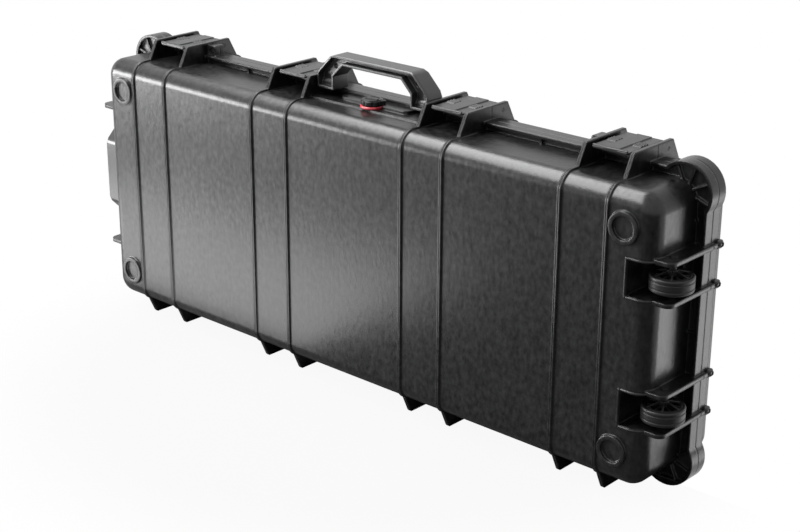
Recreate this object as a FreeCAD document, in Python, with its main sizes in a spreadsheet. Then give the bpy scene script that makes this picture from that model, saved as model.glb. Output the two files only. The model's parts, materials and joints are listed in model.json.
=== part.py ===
import FreeCAD, Part
import os
import re
import Sketcher

# A long wheeled protective case, upright on its hinge side with the handle on top.
# X runs along the length towards the wheels, Y from the base's broad face to the lid, Z up.
# The origin lies on the ground under the middle of the whole case. All sizes are millimetres.

doc = FreeCAD.newDocument("protective_case")
sheet = doc.addObject("Spreadsheet::Sheet", "Sizes")

# Driving sizes: alias, value, what it measures
SIZES = (
    ("tub_length", 936, "outside length of both tubs"),
    ("tub_height", 356, "outside height of both tubs"),
    ("tub_wall", 4.5, "wall of both tubs"),
    ("base_depth", 90, "broad face of the base to the parting plane"),
    ("lid_depth", 56, "parting plane to the broad face of the lid"),
    ("corner_round", 25, "corners of the tubs seen square on"),
    ("base_edge_step", 4, "base's face edges are rounded this much less than the corners"),
    ("lid_edge_step", 12, "lid's face edges are rounded this much less than the corners"),
    ("parting_gap", 0.3, "gap between base and lid when shut"),
    ("flange_end", 16, "flange beyond the end walls"),
    ("flange_side", 11, "flange beyond the latch and hinge walls"),
    ("flange_thick", 14, "each half of the flange, across the parting plane"),
    ("flange_web", 8, "solid part of the flange at the parting plane"),
    ("flange_rim", 4, "outer rim of the flange"),
    ("flange_round", 24, "corners of the flange under the ears"),
    ("ear_radius", 35.5, "corner ears of the flange"),
    ("ear_inset_x", 30, "ear centre inside the flange, along the length"),
    ("ear_inset_z", 25, "ear centre inside the flange, up and down"),
    ("gusset_wall", 3, "small stiffeners in the flange channel"),
    ("gusset_setback", 2, "stiffeners below the channel's mouth"),
    ("pair_inner", 132.5, "middle of an inner rib pair from the middle of the case"),
    ("pair_inset", 96, "middle of an outer rib pair in from the end wall"),
    ("pair_gap", 65, "rib to rib in a pair"),
    ("rib_width", 5, "ribs and fins"),
    ("rib_height", 2, "ribs above the broad faces"),
    ("fin_top", 28, "latch side fins above the wall"),
    ("fin_bottom", 22, "hinge side fins below the wall"),
    ("fin_start", 30, "latch side fins from the base's broad face, at the wall"),
    ("fin_shoulder", 43.5, "latch side fins from the base's broad face, at their top"),
    ("fin_break", 2, "small break at the fins' outer corner"),
    ("fin_toe", 19, "hinge side fins from the base's broad face, at the ground"),
    ("fin_heel", 5, "hinge side fins from the base's broad face, on the rounding"),
    ("fin_slope", 9, "hinge side fins' slope beside the hinge"),
    ("lid_fin_peak", 24.5, "lid fins' outer corner from the lid's broad face"),
    ("lid_fin_foot", 6.5, "lid fins' foot from the lid's broad face"),
    ("foot_height", 4, "ring feet above the base's broad face"),
    ("foot_radius", 19.5, "ring feet, outside"),
    ("foot_bore", 14, "ring feet, inside"),
    ("foot_inset_x", 40, "ring feet in from the end walls"),
    ("foot_inset_z", 42.5, "ring feet in from the latch and hinge walls"),
    ("stack_play", 1, "room round a ring foot in the stacking socket of another lid"),
    ("socket_depth", 1.5, "stacking sockets"),
    ("bay_offset", 79, "middle of a wheel bay from mid height"),
    ("bay_room", 12.5, "room in a wheel bay above and below a wheel at its middle"),
    ("bay_room_side", 13.5, "room between the wheel and its bay, along the length"),
    ("bay_room_back", 6, "room between the wheel and its bay, front to back"),
    ("shelf_wall", 5, "shelves beside the bays and end handle"),
    ("shelf_front", 7, "shelves from the base's broad face"),
    ("shelf_proud", 4, "shelves beyond the flange's end"),
    ("shelf_round", 10, "front corner of the shelves"),
    ("lug_place", 73, "carriers of the end handle from mid height"),
    ("lug_reach", 12, "carriers of the end handle in front of its pivot"),
    ("knob_reach", 22, "shelf ends on the lid from the parting plane"),
    ("knob_round", 8, "shelf ends on the lid"),
    ("wheel_radius", 25.5, "wheel with its tyre"),
    ("wheel_width", 18, "wheel"),
    ("wheel_drop", 3, "wheel below the middle of its bay"),
    ("wheel_proud", 15.5, "wheel past the flange's end"),
    ("wheel_back", 30, "wheel axis from the base's broad face"),
    ("tyre_wall", 4, "tyre"),
    ("tread_groove", 1.4, "width of a groove round the tyre"),
    ("tread_depth", 0.6, "depth of a groove round the tyre"),
    ("tread_pitch", 4, "groove to groove on the tyre"),
    ("tyre_round", 2, "shoulders of the tyre"),
    ("hub_rim", 2, "rim of the wheel hub"),
    ("hub_boss", 6.5, "radius of the hub's middle"),
    ("spoke_wall", 2.4, "wheel spokes"),
    ("sleeve_wall", 1.5, "sleeve the wheel turns on"),
    ("axle_radius", 3, "wheel axles"),
    ("axle_head", 4.5, "radius of the axle heads"),
    ("axle_cap", 1.2, "thickness of the axle heads"),
    ("pin_play", 0.05, "radial play of pins and axles"),
    ("side_play", 0.4, "play beside moving pieces"),
    ("seal_offset", 3, "middle of the seal outside the tub wall"),
    ("seal_width", 6, "seal groove"),
    ("seal_depth", 5, "seal groove"),
    ("bead_width", 3, "bead on the base that meets the seal"),
    ("bead_height", 1.5, "bead on the base that meets the seal"),
    ("hinge_drop", 4, "hinge axis below the flange"),
    ("hinge_clear", 9, "fins and ears cut back beside the hinge"),
    ("hinge_pin", 2.5, "hinge pins, radius"),
    ("knuckle_radius", 6, "hinge knuckles"),
    ("knuckle_reach", 10, "hinge knuckles' root beside the parting plane"),
    ("knuckle_half", 10, "half the lid's knuckle along the hinge"),
    ("latch_pin", 2, "latch pins, radius"),
    ("latch_back", 22, "latch pivot from the parting plane"),
    ("latch_rise", 8, "latch pivot above the flange"),
    ("link_front", 15, "link pin in front of the latch pivot"),
    ("link_rise", 6, "link pin above the flange"),
    ("lever_room", 5, "room between the lever and the fins beside it"),
    ("lever_reach", 30, "lever's free edge in front of the flange"),
    ("lever_plate", 3.6, "lever plate"),
    ("lever_cheek", 4, "lever's cheeks"),
    ("lever_boss", 7, "lever round its pivot"),
    ("lever_lip", 0.8, "lever's finger lip, down from the plate"),
    ("lever_lip_wall", 3, "lever's finger lip"),
    ("lever_gap", 1.25, "gap between the lever plate and the rocked up jaw"),
    ("cheek_gap", 1, "lever's cheeks above the flange"),
    ("panel_half", 10, "half the raised panel on the lever"),
    ("panel_rise", 1.2, "raised panel above the lever's sides"),
    ("jaw_plate", 4, "jaw plate"),
    ("jaw_boss", 4.5, "jaw round the link pin"),
    ("jaw_tooth", 6, "jaw's tooth, front to back"),
    ("jaw_bite", 4, "jaw's tooth below the flange's edge when hooked"),
    ("jaw_lift", 12, "degrees the jaw is rocked up off the flange"),
    ("keeper_gap", 0.4, "hooked tooth to the flange"),
    ("jaw_over", 1, "jaw plate above the flange"),
    ("tab_width", 18, "padlock tabs"),
    ("tab_wall", 8, "padlock tabs, each half"),
    ("tab_rise", 14, "padlock tabs above the flange"),
    ("tab_round", 4, "padlock tabs' free corner"),
    ("eye_rise", 6.5, "padlock eye above the flange"),
    ("eye_inset", 9.5, "padlock eye from the rib"),
    ("eye_radius", 4.5, "padlock eye"),
    ("eye_sleeve", 1.2, "wall of the steel sleeve in the padlock eye"),
    ("handle_reach", 41, "handle's outer edge from its pivot"),
    ("grip_thick", 12, "handle's grip, outer edge to opening"),
    ("handle_shoulder", 1.5, "handle's legs in from what carries them"),
    ("handle_leg", 30, "handle's legs, across"),
    ("leg_drop", 5.5, "handle's legs below their pivot"),
    ("handle_blend", 4.5, "handle's blunted outer corners, along each side"),
    ("handle_depth", 28, "handle, front to back"),
    ("leg_straight", 4.5, "straight outside of the legs above their groove's foot"),
    ("opening_straight", 2.5, "straight inside of the legs above their groove's foot"),
    ("handle_band", 3.5, "bands of the handle beside its groove"),
    ("handle_web", 8, "handle between its two grooves"),
    ("handle_edge", 2.5, "rounding of the handle's outer edges"),
    ("handle_boss", 7, "handle round its pivot"),
    ("handle_hole", 3, "hole through the handle's web at its cut corners"),
    ("handle_pin", 3, "handle pins, radius"),
    ("handle_pin_depth", 16, "handle pins inside the handle's legs"),
    ("top_pivot_inset", 7, "top handle's pivot in front of the flange"),
    ("end_pivot_inset", 16, "end handle's pivot in front of the flange"),
    ("fold_room", 2, "folded top handle above the ledge"),
    ("ledge_reach", 31, "ledge under the top handle, in front of the flange"),
    ("ledge_height", 2, "ledge under the top handle"),
    ("pad_reach", 18, "pad between the handle's legs, in front of the flange"),
    ("pad_height", 4.5, "pad above the ledge"),
    ("pad_room", 8, "room between the pad and the handle's legs"),
    ("pad_round", 9, "front corners of the pad"),
    ("valve_inset", 18.3, "valve in front of the flange"),
    ("valve_stem", 8, "valve stem, radius"),
    ("valve_head", 9.6, "valve head inside the ring"),
    ("valve_inside", 10, "valve stem inside the wall"),
    ("valve_spindle", 3, "spindle that the knob turns on"),
    ("valve_spindle_rise", 4, "spindle above the valve head"),
    ("ring_radius", 15.5, "ring at the valve's foot"),
    ("ring_height", 3.5, "ring at the valve's foot"),
    ("ring_round", 1, "outer edges of the ring"),
    ("ring_room", 1.5, "room round the ring in the pad"),
    ("knob_radius", 14.5, "valve knob"),
    ("knob_height", 6.5, "valve knob"),
    ("knob_edge", 1.5, "top edge of the valve knob"),
    ("knob_notch", 2.2, "finger notches round the valve knob, radius"),
    ("nut_radius", 13, "nut inside the wall, over its corners"),
    ("nut_height", 6, "nut inside the wall"),
    ("vent_radius", 5, "vent disc"),
    ("vent_height", 1.5, "vent disc"),
)

# Places that follow from the driving sizes
DERIVED = {
    "half_length": "tub_length / 2",
    "half_height": "tub_height / 2",
    "base_round": "corner_round - base_edge_step",
    "lid_round": "corner_round - lid_edge_step",
    "pair_outer": "half_length - pair_inset",
    "gusset_place": "(pair_inner + pair_outer) / 2",
    "fin_sink": "base_round / 2",
    "mid": "half_height + fin_bottom",
    "wall_top": "mid + half_height",
    "wall_bottom": "mid - half_height",
    "parting": "(base_depth + foot_height - lid_depth - rib_height) / 2",
    "base_face": "parting - base_depth",
    "lid_face": "parting + lid_depth",
    "base_rim": "parting - parting_gap / 2",
    "lid_rim": "parting + parting_gap / 2",
    "flange_x": "half_length + flange_end",
    "flange_top": "wall_top + flange_side",
    "flange_bottom": "wall_bottom - flange_side",
    "flange_front": "base_rim - flange_thick",
    "ear_x": "flange_x - ear_inset_x",
    "fin_peak": "wall_top + fin_top",
    "fin_inner_x": "pair_inner - pair_gap / 2 - rib_width / 2",
    "tab_x": "pair_outer - pair_gap / 2",
    "hinge_z": "flange_bottom - hinge_drop",
    "shelf_x": "flange_x + shelf_proud",
    "bay_height": "wheel_width + 2 * bay_room",
    "bay_x": "wheel_x - wheel_radius - bay_room_side",
    "bay_y": "wheel_y + wheel_radius + bay_room_back",
    "shelf_inner_z": "bay_offset + bay_height / 2",
    "wheel_x": "flange_x + wheel_proud - wheel_radius",
    "wheel_y": "base_face + wheel_back",
    "latch_y": "parting + latch_back",
    "latch_z": "flange_top + latch_rise",
    "link_y": "latch_y - link_front",
    "link_z": "flange_top + link_rise",
    "lever_half": "pair_gap / 2 - rib_width / 2 - lever_room",
    "lever_front": "flange_front - lever_reach",
    "jaw_reach": "link_y - flange_front + keeper_gap + jaw_tooth",
    "jaw_turn": "jaw_lift * 1 deg",
    "jaw_rise": "(jaw_over + jaw_plate - link_rise) * cos(jaw_turn) + jaw_reach * sin(jaw_turn)",
    "lever_bottom": "link_z + jaw_rise + lever_gap",
    "lever_top": "lever_bottom + lever_plate",
    "jaw_half": "lever_half - lever_cheek - side_play",
    "tab_top": "flange_top + tab_rise",
    "eye_x": "tab_x - eye_inset",
    "groove_end": "handle_band - leg_drop",
    "blend_step": "handle_blend * cos(45 deg)",
    "eye_z": "flange_top + eye_rise",
    "socket_radius": "foot_radius + stack_play",
    "eye_bore": "eye_radius + eye_sleeve",
    "handle_inner": "handle_reach - grip_thick",
    "groove_foot": "handle_boss + handle_band",
    "handle_cut": "handle_reach - groove_foot - leg_straight",
    "opening_cut": "handle_inner - groove_foot - opening_straight",
    "top_pivot_y": "flange_front - top_pivot_inset",
    "top_pivot_z": "ledge_top + fold_room + handle_depth / 2",
    "end_pivot_x": "handle_depth / 2 - flange_x - wheel_proud",
    "end_pivot_y": "flange_front - end_pivot_inset",
    "ledge_top": "wall_top + ledge_height",
    "ledge_front": "flange_front - ledge_reach",
    "pad_front": "flange_front - pad_reach",
    "pad_half": "fin_inner_x - handle_shoulder - handle_leg - pad_room",
    "valve_y": "flange_front - valve_inset",
    "head_top": "ledge_top + ring_height + side_play / 2",
    "knob_bottom": "head_top + side_play",
    "wall_inside": "wall_top - tub_wall",
}

VALUES_COLUMN = "B"
for row, (alias, value, note) in enumerate(SIZES, start=1):
    sheet.set("A%d" % row, note)
    sheet.set("%s%d" % (VALUES_COLUMN, row), str(value))
    sheet.setAlias("%s%d" % (VALUES_COLUMN, row), alias)
doc.recompute()

ALIASES = {alias for alias, value, note in SIZES}
WORD = re.compile(r"[a-z][a-z_]*")


def spelled(formula):
    """The formula with every derived place worked back to cells of the sheet."""

    def cell(match):
        word = match.group(0)
        if word in DERIVED:
            return "(" + spelled(DERIVED[word]) + ")"
        return "Sizes." + word if word in ALIASES else word

    return WORD.sub(cell, formula)


def size(formula):
    """The formula's value in millimetres."""
    return float(sheet.evalExpression(spelled(formula)))


def bind(item, prop, formula):
    """Tie a property of an object to the sheet."""
    item.setExpression(prop, spelled(formula))


def place(item, x, y, z):
    """Tie an object's place to the sheet."""
    for axis, formula in zip("xyz", (x, y, z)):
        bind(item, "Placement.Base." + axis, formula)
    return item


def about(middle, half):
    """The span of a half size on both sides of a middle."""
    return "(%s) - (%s)" % (middle, half), "(%s) + (%s)" % (middle, half)


def minus(formula):
    """The same place on the other side of the middle."""
    return "-(%s)" % formula


# Building blocks

AXIS_X = FreeCAD.Vector(1, 0, 0)
AXIS_Y = FreeCAD.Vector(0, 1, 0)
AXIS_Z = FreeCAD.Vector(0, 0, 1)
ROD_TURNS = {
    "x": FreeCAD.Rotation(AXIS_Y, 90),
    "y": FreeCAD.Rotation(AXIS_X, -90),
    "z": FreeCAD.Rotation(),
}
SKETCH_TURNS = {
    "x": FreeCAD.Rotation(AXIS_Y, AXIS_Z, AXIS_X),
    "y": FreeCAD.Rotation(AXIS_X, AXIS_Z, -AXIS_Y),
    "z": FreeCAD.Rotation(),
}
DIRECTIONS = {"x": AXIS_X, "y": AXIS_Y, "z": AXIS_Z}
NEAR = 1e-4


def block(name, x, y, z):
    """A box between pairs of places along X, Y and Z."""
    item = doc.addObject("Part::Box", name)
    for prop, axis, (low, high) in zip(("Length", "Width", "Height"), "xyz", (x, y, z)):
        bind(item, prop, "(%s) - (%s)" % (high, low))
        bind(item, "Placement.Base." + axis, low)
    return item


def rod(name, axis, radius, span, centre):
    """A round bar along an axis, with its middle at the two other places."""
    item = doc.addObject("Part::Cylinder", name)
    item.Placement = FreeCAD.Placement(FreeCAD.Vector(), ROD_TURNS[axis])
    low, high = span
    bind(item, "Radius", radius)
    bind(item, "Height", "(%s) - (%s)" % (high, low))
    places = dict(zip([letter for letter in "xyz" if letter != axis], centre))
    places[axis] = low
    return place(item, places["x"], places["y"], places["z"])


def prism(name, axis, outline, span):
    """A straight-sided outline of sheet-bound points, drawn out along an axis."""
    sketch = doc.addObject("Sketcher::SketchObject", name + "_outline")
    corners = [FreeCAD.Vector(size(u), size(v), 0) for u, v in outline]
    count = len(corners)
    for index, corner in enumerate(corners):
        sketch.addGeometry(Part.LineSegment(corner, corners[(index + 1) % count]))
    for index, (u, v) in enumerate(outline):
        sketch.addConstraint(Sketcher.Constraint("Coincident", index, 2, (index + 1) % count, 1))
        for kind, formula in (("DistanceX", u), ("DistanceY", v)):
            rule = Sketcher.Constraint(kind, -1, 1, index, 1, size(formula))
            bind(sketch, "Constraints[%d]" % sketch.addConstraint(rule), formula)
    sketch.Placement = FreeCAD.Placement(FreeCAD.Vector(), SKETCH_TURNS[axis])
    bind(sketch, "Placement.Base." + axis, span[0])
    item = doc.addObject("Part::Extrusion", name)
    item.Base = sketch
    item.DirMode = "Custom"
    item.Dir = DIRECTIONS[axis]
    item.Solid = True
    bind(item, "LengthFwd", "(%s) - (%s)" % (span[1], span[0]))
    return item


def fuse(name, items):
    """Several solids as one."""
    item = doc.addObject("Part::MultiFuse", name)
    item.Shapes = list(items)
    return item


def group(name, items):
    """Solids that stay apart, kept together."""
    item = doc.addObject("Part::Compound", name)
    item.Links = list(items)
    return item


def cut(name, base, tools):
    """A solid with others taken out of it."""
    item = doc.addObject("Part::Cut", name)
    item.Base = base
    item.Tool = tools[0] if len(tools) == 1 else fuse(name + "_tools", tools)
    return item


def common(name, first, second):
    """What two solids share."""
    item = doc.addObject("Part::Common", name)
    item.Base = first
    item.Tool = second
    return item


def rounded(name, base, radius, choose):
    """A solid with the chosen edges rounded."""
    doc.recompute()
    item = doc.addObject("Part::Fillet", name)
    item.Base = base
    edges = [number for number, edge in enumerate(base.Shape.Edges, start=1) if choose(edge)]
    item.Edges = [(number, size(radius), size(radius)) for number in edges]
    return item


def tube(name, axis, radius, bore, span, centre):
    """A round bar with a round bore."""
    return cut(name, rod(name + "_outside", axis, radius, span, centre),
               [rod(name + "_bore", axis, bore, span, centre)])


def along(axis):
    """Chooses straight edges that run along an axis."""

    def choose(edge):
        run = edge.Vertexes[-1].Point.sub(edge.Vertexes[0].Point)
        return run.Length > NEAR and run.normalize().cross(DIRECTIONS[axis]).Length < NEAR

    return choose


def at(axis, formula):
    """Chooses edges that lie at one place along an axis."""
    level = size(formula)

    def choose(edge):
        box = edge.BoundBox
        low, high = getattr(box, axis.upper() + "Min"), getattr(box, axis.upper() + "Max")
        return abs(low - level) < NEAR and abs(high - level) < NEAR

    return choose


def both(*tests):
    """Chooses edges that pass every test."""
    return lambda edge: all(test(edge) for test in tests)


def rounded_tub(name, half_x, half_z, corner, y, face=None, face_round=None):
    """A box with rounded corners and, where a face is named, a rounded edge there."""
    box = block(name + "_block", about("0", half_x), y, about("mid", half_z))
    tub = rounded(name, box, corner, along("y"))
    return tub if face is None else rounded(name + "_round", tub, face_round, at("y", face))


SIDES = (("left", minus), ("right", str))
RIB_PLACES = [
    ("%s_%s_%d" % (side, pair, number), mirror("%s %s pair_gap / 2" % (pair, sign)))
    for side, mirror in SIDES
    for pair in ("pair_outer", "pair_inner")
    for number, sign in ((1, "-"), (2, "+"))
]
LATCH_PLACES = ("-(pair_outer)", "-(pair_inner)", "pair_inner", "pair_outer")
BAY_PLACES = ("mid + bay_offset", "mid - bay_offset")
SHELF_OUTER = (("top", "mid + shelf_inner_z", "mid + shelf_inner_z + shelf_wall"),
               ("bottom", "mid - shelf_inner_z - shelf_wall", "mid - shelf_inner_z"))
SHELF_INNER = (("upper", "mid + bay_offset - bay_height / 2 - shelf_wall",
                "mid + bay_offset - bay_height / 2"),
               ("lower", "mid - bay_offset + bay_height / 2",
                "mid - bay_offset + bay_height / 2 + shelf_wall"))
HANDLE_LUGS = (("upper", "mid + lug_place", "mid + lug_place + shelf_wall"),
               ("lower", "mid - lug_place - shelf_wall", "mid - lug_place"))
# Degrees at which stiffeners cross the ears, and how far cutting tools run past a face
EAR_TURNS = (20, 65, 110, 155)
OVER = "5"
CUT_THROUGH = "1"
SUBPARTS = []


def keep(item, node):
    """Give a finished sub-part its name."""
    item.Label = node
    SUBPARTS.append(item)
    return item


# Pieces that base and lid share


def flange(half, rim, sign):
    """One half of the flange: a channel with ears at the corners, solid below the hinge, and stiffeners."""
    mouth = "%s %s flange_thick" % (rim, sign)
    web = "%s %s flange_web" % (rim, sign)
    past = "%s %s %s" % (mouth, sign, CUT_THROUGH)
    solid_y = (mouth, rim) if sign == "-" else (rim, mouth)
    hollow_y = (past, web) if sign == "-" else (web, past)
    low = "%s %s (flange_thick - gusset_setback)" % (rim, sign)
    plate_y = (low, web) if sign == "-" else (web, low)

    def ringed(name, inset, y):
        frame = rounded_tub(name + "_frame", "flange_x - %s" % inset,
                            "half_height + flange_side - %s" % inset, "flange_round - %s" % inset, y)
        ears = [
            rod("%s_ear_%s_%s" % (name, side, level), "y", "ear_radius - %s" % inset, y,
                (mirror("ear_x"), z))
            for side, mirror in SIDES
            for level, z in (("top", "flange_top - ear_inset_z"),
                             ("bottom", "flange_bottom + ear_inset_z"))
        ]
        return fuse(name, [frame] + ears)

    outside = ringed(half + "_flange_outside", "0", solid_y)
    ear_feet = block(half + "_ear_feet", about("0", "flange_x + ear_radius"), hollow_y,
                     ("-%s" % OVER, "hinge_z + gusset_wall"))
    hollow = cut(half + "_flange_hollow", ringed(half + "_flange_inside", "flange_rim", hollow_y), [ear_feet])
    ring = cut(half + "_flange", outside, [hollow])
    across = about("mid", "half_height + flange_side + ear_radius")
    plates = [
        block("%s_gusset_%s" % (half, side), about(mirror("gusset_place"), "gusset_wall / 2"),
              plate_y, across)
        for side, mirror in SIDES
    ]
    plates.append(block(half + "_gusset_ends", about("0", "flange_x"), plate_y,
                        about("mid", "gusset_wall / 2")))
    for side, mirror in SIDES:
        for level, z in (("top", "flange_top - ear_inset_z"), ("bottom", "flange_bottom + ear_inset_z")):
            for number, turn in enumerate(EAR_TURNS):
                plate = block("%s_ear_gusset_%s_%s_%d" % (half, side, level, number),
                              about("0", "ear_radius"), plate_y, about("0", "gusset_wall / 2"))
                spin = FreeCAD.Placement(FreeCAD.Vector(), FreeCAD.Rotation(AXIS_Y, turn))
                turned = group(plate.Name + "_turned", [plate])
                turned.Placement = spin
                plates.append(place(turned, mirror("ear_x"), "0", z))
    gussets = common(half + "_gussets", hollow, fuse(half + "_gusset_plates", plates))
    return [ring, gussets]


def ribs(half, envelope, fins, y):
    """Ribs over the broad face and fins on both sides, at every rib place."""
    tall = about("mid", "half_height + fin_top + %s" % OVER)
    slabs = [
        block("%s_slab_%s" % (half, name), about(x, "rib_width / 2"), y, tall)
        for name, x in RIB_PLACES
    ]
    return common(half + "_ribs", fuse(half + "_rib_forms", [envelope] + fins),
                  group(half + "_slabs", slabs))


def knuckles(half, spans, rim, root):
    """Hinge knuckles at every latch place, with their roots on the flange."""
    solids = []
    for number, middle in enumerate(LATCH_PLACES, start=1):
        for part, (low, high) in enumerate(spans, start=1):
            x = ("%s + (%s)" % (middle, low), "%s + (%s)" % (middle, high))
            name = "%s_knuckle_%d_%d" % (half, number, part)
            solids.append(rod(name, "x", "knuckle_radius", x, ("parting", "hinge_z")))
            y = (root, rim) if half == "base" else (rim, root)
            z = ("hinge_z - hinge_pin", "flange_bottom + flange_rim")
            solids.append(block(name + "_root", x, y, z))
    return solids


def knuckle_rooms(half, spans):
    """Room in one half's flange for the other half's knuckles."""
    rooms = []
    for number, middle in enumerate(LATCH_PLACES, start=1):
        for part, (low, high) in enumerate(spans, start=1):
            x = ("%s + (%s) - side_play" % (middle, low), "%s + (%s) + side_play" % (middle, high))
            rooms.append(rod("%s_knuckle_room_%d_%d" % (half, number, part), "x",
                             "knuckle_radius + side_play", x, ("parting", "hinge_z")))
    return rooms


def hinge_bores(half):
    """Pin bores through one half's knuckles."""
    return [
        rod("%s_hinge_bore_%d" % (half, number), "x", "hinge_pin + pin_play",
            about(middle, "pair_gap / 2"), ("parting", "hinge_z"))
        for number, middle in enumerate(LATCH_PLACES, start=1)
    ]


def hinge_notch(half):
    """Takes fins and ears back beside the hinge so that they pass each other."""
    return block(half + "_hinge_notch", about("0", "flange_x + ear_radius"),
                 about("parting", "hinge_clear"), ("-%s" % OVER, "hinge_z"))


def seal_ring(name, width, y):
    """A closed ring round the rim, of a given width."""
    rings = []
    for part, sign in (("outside", "+"), ("inside", "-")):
        grow = "seal_offset %s %s / 2" % (sign, width)
        rings.append(rounded_tub("%s_%s" % (name, part), "half_length + " + grow,
                                 "half_height + " + grow, "corner_round + " + grow, y))
    return cut(name, rings[0], [rings[1]])


def fin_zone(half, wall_y, flange_y):
    """Where the fins stand clear of the walls and of the flange."""
    blocks = []
    for name, x in RIB_PLACES:
        span = about(x, "rib_width / 2")
        for part, y, top, bottom in (("wall", wall_y, "wall_top", "wall_bottom"),
                                     ("flange", flange_y, "flange_top", "flange_bottom")):
            zone = "%s_fin_zone_%s_%s" % (half, name, part)
            blocks.append(block(zone + "_top", span, y, (top, "fin_peak + %s" % OVER)))
            blocks.append(block(zone + "_bottom", span, y, ("-%s" % OVER, bottom)))
    return fuse(half + "_fin_zone", blocks)


def parted(half, moulding, wall_y, flange_y):
    """Keeps the fins and the flange of one moulding as nodes of their own, face to face with the rest."""
    fins = fin_zone(half, wall_y, flange_y)
    keep(common(half + "_fin_set", moulding, fins), half + "_fins")
    walls = cut(half + "_walls", moulding, [fins])
    collar = block(half + "_collar_zone", about("0", "flange_x + ear_radius"), flange_y,
                   about("mid", "half_height + fin_top + %s" % OVER))
    keep(common(half + "_collar_part", walls, collar), half + "_collar")
    return cut(half + "_tub_part", walls, [collar])


HALF_BAY = "pair_gap / 2 - rib_width / 2 - side_play"
LID_KNUCKLES = (("-(knuckle_half)", "knuckle_half"),)
BASE_KNUCKLES = (("-(%s)" % HALF_BAY, "-(knuckle_half + side_play)"),
                 ("knuckle_half + side_play", HALF_BAY))


# Base shell


def shelves():
    """Shelves beside the wheel bays and at the other end, and the lugs that carry the end handle."""
    solids = []
    for side, mirror, levels, front in (
            ("right", str, SHELF_OUTER + SHELF_INNER, "base_face + shelf_front"),
            ("left", minus, SHELF_OUTER, "base_face + shelf_front"),
            ("lug", minus, HANDLE_LUGS, "end_pivot_y - lug_reach")):
        span = [mirror("bay_x"), mirror("shelf_x")]
        x = span if side == "right" else span[::-1]
        edge = both(along("z"), at("x", mirror("shelf_x")), at("y", front))
        for level, low, high in levels:
            box = block("shelf_block_%s_%s" % (side, level), x, (front, "base_rim"), (low, high))
            solids.append(rounded("shelf_%s_%s" % (side, level), box, "shelf_round", edge))
    return solids


def shelf_zone():
    """Where the shelves stand out from the end walls."""
    y = ("base_face", "flange_front")
    blocks = []
    for side, mirror, levels in (("right", str, SHELF_OUTER + SHELF_INNER),
                                 ("left", minus, SHELF_OUTER + HANDLE_LUGS)):
        span = [mirror("half_length"), mirror("shelf_x")]
        x = span if side == "right" else span[::-1]
        blocks += [
            block("shelf_zone_%s_%s" % (side, level), x, y, (low, high))
            for level, low, high in levels
        ]
    return group("shelf_zone", blocks)


def wheel_bays(name, wall):
    """The two wheel bays, grown by a wall."""
    return [
        block("%s_%d" % (name, number), ("bay_x - %s" % wall, "flange_x + %s" % OVER),
              ("base_face - %s" % OVER, "bay_y + %s" % wall),
              about(middle, "bay_height / 2 + %s" % wall))
        for number, middle in enumerate(BAY_PLACES, start=1)
    ]


def feet():
    """Ring feet on the broad face."""
    y = ("base_face - foot_height", "base_face + %s" % CUT_THROUGH)
    return [
        tube("foot_%s_%s" % (side, level), "y", "foot_radius", "foot_bore", y,
             (mirror("half_length - foot_inset_x"), z))
        for side, mirror in SIDES
        for level, z in (("top", "wall_top - foot_inset_z"), ("bottom", "wall_bottom + foot_inset_z"))
    ]


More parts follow.
